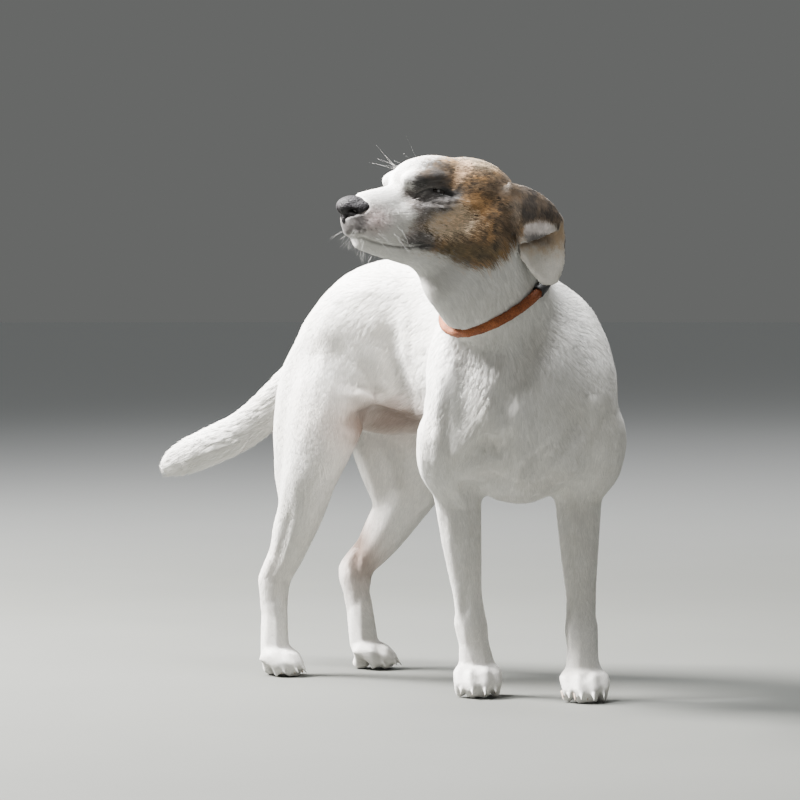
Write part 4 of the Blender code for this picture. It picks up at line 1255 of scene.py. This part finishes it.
def coat_piece(name, chosen):
    count = len(chosen)
    mesh = bpy.data.meshes.new(name)
    mesh.vertices.add(count * 4)
    mesh.vertices.foreach_set("co", spikes[chosen].astype(np.float32).ravel())
    faces = (np.arange(count)[:, None, None] * 4 + SPIKE_FACES[None]).reshape(-1, 3)
    mesh.loops.add(len(faces) * 3)
    mesh.loops.foreach_set("vertex_index", faces.astype(np.int32).ravel())
    mesh.polygons.add(len(faces))
    mesh.polygons.foreach_set("loop_start", np.arange(0, len(faces) * 3, 3, dtype=np.int32))
    mesh.update(calc_edges=True)
    mesh.polygons.foreach_set("use_smooth", np.ones(len(faces), bool))
    mesh.normals_split_custom_set_from_vertices(soft[chosen].reshape(-1, 3))
    piece = added(name, mesh)
    corner_shift = np.array([(-0.5, -0.5), (0.5, -0.5), (0.0, 0.0), (0.0, 0.5)]) * PATCH_SIZE
    spread = unrolled(roots[chosen])[:, None, :] + corner_shift[None]
    layer = mesh.uv_layers.new(name="OFBake")
    layer.data.foreach_set("uv", spread.reshape(-1, 2)[faces.ravel()].astype(np.float32).ravel())
    root_rows = np.repeat(roots[chosen], 4, axis=0).astype(np.float32)
    layer = mesh.attributes.new("root", "FLOAT_VECTOR", "POINT")
    layer.data.foreach_set("vector", root_rows.ravel())
    for column, tone in enumerate(TONES):
        store(piece, tone, np.repeat(root_tones[chosen, column], 4))
    store(piece, "shade", np.repeat(shades[chosen], 4))
    coat_finish.dress(piece)
    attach(piece, "root")
    return len(faces)


MOST_TUFTS = 48000  # of four triangles each
coat_total = 0
for part_name in COAT:
    chosen = np.flatnonzero(root_kind == part_name)
    pieces = -(-len(chosen) // MOST_TUFTS)
    chosen = chosen[np.argsort(roots[chosen, 0 if part_name != "head" else 1])]
    for number, share_of in enumerate(np.array_split(chosen, pieces)):
        coat_total += coat_piece(f"coat_{part_name}_{number + 1}", share_of)
print("coat triangles", coat_total)

# %% [markdown]
# The skin has done its work as the ground of the coat. Its flat stretches can do with
# fewer faces now, which also brings it under two hundred thousand triangles.

# %% Thin the skin
SKIN_TRIANGLES = 196000
apply(skin, "DECIMATE", ratio=SKIN_TRIANGLES / triangles_of(skin))
smooth(skin)
print("skin triangles kept", triangles_of(skin))

# %% [markdown]
# The nose leather is a broad pad with two wings and a groove down to the lip. Four balls,
# flattened and melted together on a fine grid, give the mass, and strokes then cut the
# comma-shaped nostrils and the middle groove.

# %% The nose
def ball(centre, radii, segments=24):
    """A ball at a head place, with its radii ahead, to the side and up."""
    bpy.ops.mesh.primitive_uv_sphere_add(segments=segments, ring_count=segments // 2, radius=1)
    made = only(bpy.context.object)
    rows = points_of(made) * radii + centre
    set_points(made, rows @ HEAD_TURN + np.array(HEAD_BASE))
    return made


NOSE_GRID = 0.0007
lumps = [ball((0.2242, 0, 0.0562), (0.0203, 0.0188, 0.0134)),
         ball((0.2315, 0, 0.0440), (0.0073, 0.0073, 0.0120))]
lumps += [ball((0.2185, 0.0120 * side, 0.0520), (0.0185, 0.0108, 0.0114)) for side in (1, -1)]
nose = joined(lumps, "nose_leather_pad")
on_all(bpy.ops.mesh.normals_make_consistent)
apply(nose, "REMESH", mode="VOXEL", voxel_size=NOSE_GRID)
rows, nose_edges = points_of(nose), edges_of(nose)
for _ in range(14):
    rows = even_out(rows, nose_edges, 0.5)
set_points(nose, rows)
ways = points_of(nose, "normal")
# ahead and up, but for the groove's, which are aside and up
NOSTRIL = ((0.2330, 0.0495, 0.6), (0.2290, 0.0475, 1.0), (0.2240, 0.0460, 1.0),
           (0.2195, 0.0470, 0.9), (0.2160, 0.0505, 0.8), (0.2135, 0.0550, 0.2))
NOSTRIL_HOLE = ((0.2335, 0.0510, 1.0), (0.2295, 0.0500, 1.0))
MIDDLE_GROOVE = ((0.0, 0.0300, 1.0), (0.0, 0.0500, 1.0), (0.0, 0.0580, 0.2))
rows = stroke(rows, ways, NOSTRIL, 0.0024, 0.0030, reach=clear_of_middle)
rows = stroke(rows, ways, NOSTRIL_HOLE, 0.0044, 0.0056, reach=clear_of_middle)
rows = stroke(rows, ways, MIDDLE_GROOVE, 0.0016, 0.0014, axes=(1, 2), sides=(1,),
              reach=lambda places: places[:, 0] > 0.228)
for _ in range(2):
    rows = even_out(rows, nose_edges, 0.4)
set_points(nose, rows)
smooth(nose)
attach(nose, "root")
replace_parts(nose, "nose")

leather = Finish("nose_leather_skin", Specular_IOR_Level=0.17)
place = leather.place()
pebble = leather.cells(place, 460)
mist = leather.noise(place, 190, 3)
ahead, up = leather.head_place(place)
# the nostrils are painted near black inside, as painted shade in their hollows, and are rougher
# there too
nostril_hollow_shade = leather.ease(spot(ahead, up, 0.2314, 0.0500, 0.0062, 0.0046), 0.0, 0.6)
nostril_hollow_shade = nostril_hollow_shade + leather.ease(spot(ahead, up, 0.2225, 0.0464, 0.0080, 0.0024), 0.0, 0.8) * 0.8
tone = leather.mix(leather.ease(mist + pebble * 0.25, 0.35, 0.85),
                   (0.009, 0.008, 0.009), (0.030, 0.027, 0.029))
leather.feed(
    Base_Color=leather.mix(nostril_hollow_shade, tone, (0.006, 0.005, 0.005)),
    Roughness=mist * 0.20 + nostril_hollow_shade * 0.3 + 0.50,
    Normal=leather.bump(pebble * -1.0 + mist * 0.3, 0.9, 0.0010),
)
leather.dress(nose)
print("nose faces", len(nose.data.polygons))

# %% [markdown]
# The eyes are nearly shut, and only a dark wet line of them shows between the lids. Each
# is still a whole ball, with a slight bulge of cornea in front.

# %% The eyes
CORNEA = 0.0005  # how far it bulges
eye_finish = Finish("dark_eye", Roughness=0.08, Coat_Weight=0.6)
tint = eye_finish.noise(eye_finish.place(), 900, 3)
eye_finish.feed(Base_Color=eye_finish.mix(tint, (0.006, 0.005, 0.004), (0.022, 0.014, 0.010)))
for side, name in ((1, "eye_left"), (-1, "eye_right")):
    eye = ball((EYE_AHEAD, EYE_OUT * side, EYE_UP), (EYE_RADIUS,) * 3, 32)
    rows = points_of(eye)
    places = head_places(rows)
    out = grow(places[:, 1] * side, EYE_OUT, EYE_RADIUS)
    rows += points_of(eye, "normal") * (CORNEA * grow(out, 0.75, 0.25) ** 0.5)[:, None]
    set_points(eye, rows)
    eye.name = eye.data.name = name + "_ball"
    smooth(eye)
    eye_finish.dress(eye)
    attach(eye, "root")
    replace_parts(eye, name)
print("eyes ready")

# %% [markdown]
# A claw is a short horn cone that curves down to the floor. It is modelled once, from a
# cone cut into rings and bent ring by ring, and then copied to each toe of each paw.

# %% The claws
# beside the paw's middle line and ahead of its ball
CLAW_PLACES = ((0.0078, 0.050), (-0.0078, 0.050), (0.0215, 0.036), (-0.0215, 0.036))
PAW_SIZES = {"front": 1.0, "hind": 0.92}
CLAW_LENGTH, CLAW_HEIGHT = 0.0150, 0.0140
bpy.ops.mesh.primitive_cone_add(vertices=12, radius1=0.0030, radius2=0.0006, depth=CLAW_LENGTH,
                                end_fill_type="TRIFAN", location=(0, 0, CLAW_LENGTH / 2))
claw = only(bpy.context.object)
bpy.ops.object.transform_apply()
for height in (0.25, 0.45, 0.65, 0.82):
    on_all(bpy.ops.mesh.bisect, plane_co=(0, 0, height * CLAW_LENGTH), plane_no=(0, 0, 1))
rows = points_of(claw)
share_up = rows[:, 2] / CLAW_LENGTH
bent = rows.copy()
fatter = 1 + 0.35 * np.sin(np.pi * np.clip(share_up, 0, 1) ** 0.8)
bend = 1.15 * share_up
bent[:, 1] = rows[:, 1] * fatter * 0.80
bent[:, 0] = CLAW_LENGTH * 0.90 * np.sin(0.35 + bend * 0.5) * share_up
bent[:, 0] += rows[:, 0] * fatter * np.cos(bend)
bent[:, 2] = -CLAW_LENGTH * 0.62 * share_up ** 1.6 + rows[:, 0] * fatter * np.sin(bend + 0.3)
claws = []
for paw_name, ((x, y), angle) in PAW_PLACES.items():
    size = PAW_SIZES[paw_name.split("_")[1]]
    ahead_way = np.array([math.cos(angle), math.sin(angle), 0])
    left_way = np.array([-math.sin(angle), math.cos(angle), 0])
    for beside_it, reach in CLAW_PLACES:
        origin = np.array([x, y, CLAW_HEIGHT * size])
        origin = origin + (reach - 0.0085) * size * ahead_way + beside_it * size * left_way
        ahead, left, up = (bent * size).T[:, :, None]
        placed = origin + ahead * ahead_way + left * left_way + up * (0, 0, 1)
        placed[:, 2] = np.maximum(placed[:, 2], 0.0006)
        claws.append(twin(claw))
        set_points(claws[-1], placed)
bpy.data.objects.remove(claw)
claws = joined(claws, "claws")
on_all(bpy.ops.mesh.normals_make_consistent)
apply(claws, "SUBSURF", levels=1, render_levels=1)
smooth(claws)
horn = Finish("claw_horn", Roughness=0.35, Coat_Weight=0.2)
grain = horn.noise(horn.stretch(horn.place(), (1, 1, 0.35)), 700, 3)
horn.feed(Base_Color=horn.mix(grain, (0.30, 0.225, 0.175), (0.56, 0.46, 0.38)),
          Normal=horn.bump(grain, 0.3, 0.0003))
horn.dress(claws)
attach(claws, "root")
print("claws", len(claws.data.polygons))

# %% [markdown]
# Whiskers are stiff single hairs that stand well clear of the coat: fans of them on the
# upper lips, short ones on the chin, a few on the cheeks and over each eye. Each is a thin
# three-sided rod in a few lengths, drawn out to a point and bent by its own weight.

# %% The whiskers
WHISKER_BEDS = (
    # middle (ahead, out, up), spread, how many, way (ahead, out, up), length, thickness
    ((0.192, 0.028, 0.026), (0.020, 0.002, 0.009), 11, (-0.50, 0.40, -0.75), 0.031, 0.00010),
    ((0.222, 0.017, 0.022), (0.010, 0.004, 0.008), 8, (0.70, 0.35, -0.65), 0.022, 0.00009),
    ((0.208, 0.010, 0.002), (0.026, 0.008, 0.003), 8, (0.10, 0.22, -0.95), 0.017, 0.00009),
    ((0.168, 0.026, 0.008), (0.014, 0.004, 0.006), 8, (-0.50, 0.30, -0.75), 0.034, 0.00010),
    ((0.152, 0.026, 0.100), (0.008, 0.004, 0.002), 4, (0.62, -0.05, 0.60), 0.038, 0.00012),
)
WHISKER_STEPS = 6
ROOTED = 0.001  # how deep a whisker's foot sits
NOT_QUITE_UP = (0.1, 0.2, 1.0)  # so that no aim runs along it
whisker_points, whisker_faces = [], []


def level_across(aim):
    """A way across the aim that is all but level."""
    return unit(np.cross(aim, NOT_QUITE_UP)[None])[0]


def add_whisker(foot, aim, reach, curl, thick):
    """Adds the rings of a thin rod from its foot along its aim, and the faces between them."""
    side_way = level_across(aim)
    above_way = np.cross(side_way, aim)
    first = len(whisker_points)
    for step in range(WHISKER_STEPS):
        share_out = step / WHISKER_STEPS
        centre = foot + aim * reach * share_out + curl * reach * share_out ** 2 - aim * ROOTED
        radius = thick * (1 - 0.75 * share_out)
        for corner in range(3):
            turn = 2 * math.pi * corner / 3
            outwards = math.cos(turn) * side_way + math.sin(turn) * above_way
            whisker_points.append(centre + radius * outwards)
        if step:
            low, high = first + 3 * step - 3, first + 3 * step
            for corner in range(3):
                after = (corner + 1) % 3
                whisker_faces.append((low + corner, low + after, high + after, high + corner))
    tip = len(whisker_points)
    whisker_points.append(foot + aim * reach + curl * reach)
    whisker_faces.append((first + 2, first + 1, first))
    last = tip - 3
    whisker_faces.extend((last + corner, last + (corner + 1) % 3, tip) for corner in range(3))


for (ahead, out, up), spread, count, way, length_of, thick in WHISKER_BEDS:
    for side in (1, -1):
        for _ in range(count):
            jitter = [float(x) for x in dice.uniform(-1, 1, 3) * spread]
            start = on_head(ahead + jitter[0], (out + jitter[1]) * side, up + jitter[2])
            landing, normal, _, _ = surface.find_nearest(start)
            aim = np.array([way[0], way[1] * side, way[2]]) + 0.28 * dice.normal(size=3)
            aim = unit((aim @ HEAD_TURN)[None] + 0.25 * np.array(normal)[None])[0]
            reach = length_of * dice.uniform(0.55, 1.25)
            curl = dice.normal() * 0.05 * level_across(aim) - np.array([0, 0, 0.08]) * reach / 0.03
            add_whisker(np.array(landing), aim, reach, curl, thick)
mesh = bpy.data.meshes.new("whiskers")
mesh.from_pydata([tuple(p) for p in whisker_points], [], whisker_faces)
whiskers = added("whiskers", mesh)
smooth(whiskers)
bristle = Finish("whisker_hair", Roughness=0.35)
pale = bristle.noise(bristle.place(), 80, 2)
bristle.feed(Base_Color=bristle.mix(pale, (0.70, 0.68, 0.64), (0.88, 0.87, 0.84)))
bristle.dress(whiskers)
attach(whiskers, "root")
print("whisker faces", len(whisker_faces))

# %% [markdown]
# The collar is a strip of leather rolled round a cord and sewn into a tube. Its course
# round the neck comes from the frame's own ring. A curve with a round bevel gives the tube,
# which becomes a mesh; then it gets a seam ridge and a row of stitches on its underside.

# %% The collar
COLLAR_RADIUS, SEAM_RADIUS = 0.0056, 0.0011
STITCHES = 118


def closed_tube(name, course_points, radius, round_steps):
    """A round tube along a closed course, as a mesh."""
    curve = bpy.data.curves.new(name, "CURVE")
    curve.dimensions = "3D"
    curve.bevel_depth = radius
    curve.bevel_resolution = round_steps
    line = curve.splines.new("NURBS")
    line.points.add(len(course_points) - 1)
    for point, place_of in zip(line.points, course_points):
        point.co = (*place_of, 1)
    line.use_cyclic_u = True
    line.order_u = 4
    line.resolution_u = 6
    only(added(name, curve))
    bpy.ops.object.convert(target="MESH")
    return bpy.context.object


collar = closed_tube("collar_roll", course, COLLAR_RADIUS, 6)
rows, ways = points_of(collar), points_of(collar, "normal")
# rolled by hand, the leather is a little lumpy
lumpy = waves(rows, 60, 8) * 0.00030 + waves(rows, 230, 9) * 0.00016
set_points(collar, rows + ways * lumpy[:, None])

# the seam runs along the lower outer side, with a stitch across it every few millimetres
outwards = course - collar_middle
outwards = unit(outwards - (outwards @ collar_axis)[:, None] * collar_axis)
seam_way = unit(outwards * 0.35 - collar_axis)
seam_course = course + seam_way * (COLLAR_RADIUS - 0.0001)
seam = closed_tube("collar_seam", seam_course, SEAM_RADIUS, 3)
finer = np.linspace(0, COURSE_STEPS, STITCHES, endpoint=False)
low = finer.astype(int)
part_way = (finer - low)[:, None]
after = (low + 1) % COURSE_STEPS
stitch_places = course[low] * (1 - part_way) + course[after] * part_way
stitch_ways = seam_way[low]
stitch_heads = unit(course[after] - course[low])
bpy.ops.mesh.primitive_uv_sphere_add(segments=8, ring_count=6, radius=1)
bead = only(bpy.context.object)
bead_rows = points_of(bead)
stitches = []
for place_of, way, heading in zip(stitch_places, stitch_ways, stitch_heads):
    over_it = np.cross(way, heading)
    long, wide, high = bead_rows.T[:, :, None]
    stitches.append(twin(bead))
    set_points(stitches[-1], place_of + way * (COLLAR_RADIUS + 0.0008) + long * heading * 0.0011
               + wide * over_it * 0.0005 + high * way * 0.0005)
bpy.data.objects.remove(bead)
stitches = joined(stitches, "collar_stitches")
smooth(stitches)
collar = joined([collar, seam], "collar_roll")
smooth(collar)
hide = Finish("collar_leather_roll", Specular_IOR_Level=0.3)
place = hide.place()
wear = hide.noise(place, 42, 4, 0.6)
crack = hide.cells(place, 420, "DISTANCE_TO_EDGE")
grit = hide.noise(place, 620, 4, 0.7)
scuffed = hide.mix(hide.ease(wear + (grit - 0.5) * 0.5, 0.35, 0.70),
                   (0.235, 0.062, 0.017), (0.440, 0.140, 0.048))
dark_lines = hide.ease(crack + (grit - 0.5) * 0.16, 0.0, 0.16)
hide.feed(
    Base_Color=hide.mix(dark_lines * 0.70 + 0.30, (0.080, 0.026, 0.014), scuffed),
    Roughness=grit * 0.4 + 0.45,
    Normal=hide.bump(crack * 2.5 + grit * 1.4, 0.8, 0.0008),
)
hide.dress(collar)
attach(collar, "root")
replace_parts(collar, "collar")
thread = Finish("collar_thread", Roughness=0.7)
thread.feed(Base_Color=thread.mix(thread.noise(thread.place(), 300, 3),
                                  (0.16, 0.060, 0.028), (0.30, 0.14, 0.070)))
thread.dress(stitches)
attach(stitches, "root")
print("collar faces", len(collar.data.polygons))

# %% [markdown]
# The keeper and the buckle keep the frame's shape. Their edges are rounded over, as cut
# leather and worn steel are.

# %% Keeper and buckle
strap = Finish("keeper_leather_band", Specular_IOR_Level=0.4)
grit = strap.noise(strap.place(), 480, 4)
strap.feed(Base_Color=strap.mix(grit, (0.010, 0.010, 0.011), (0.040, 0.038, 0.038)),
           Roughness=grit * 0.3 + 0.4, Normal=strap.bump(grit, 0.4, 0.0005))
steel = Finish("buckle_steel", Metallic=1.0)
scratch = steel.noise(steel.stretch(steel.place(), (1, 1, 6)), 240, 3)
steel.feed(Base_Color=steel.mix(scratch, (0.45, 0.44, 0.42), (0.70, 0.69, 0.67)),
           Roughness=scratch * 0.25 + 0.18)
for node, finish, slot in (("collar_keeper", strap, "keeper_leather"),
                           ("collar_buckle", steel, "steel")):
    rounded = copy_of(node, node + "_rounded")
    apply(rounded, "BEVEL", width=0.0006, segments=3, limit_method="ANGLE",
          angle_limit=math.radians(35))
    bpy.ops.object.shade_smooth_by_angle(angle=math.radians(40))
    finish.dress(rounded)
    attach(rounded, "root")
    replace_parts(rounded, node)
print("keeper and buckle finished")

# %% [markdown]
# The floor is dark near the dog, with the faintest unevenness. Further off it is painted
# pale, as painted light that makes up for the lamps' light, which does not reach so far.

# %% Floor finish
paper = Finish("studio_floor", Roughness=0.9)
place = paper.place()
far = paper.vector("LENGTH", {0: place}, "Value")
cloth = paper.mix(paper.noise(place, 3, 2), (0.085, 0.088, 0.080), (0.100, 0.102, 0.094))
paper.feed(Base_Color=paper.mix(paper.ease(far, 1.2, 9.0), cloth, (0.93, 0.95, 0.96)))
paper.dress(floor)
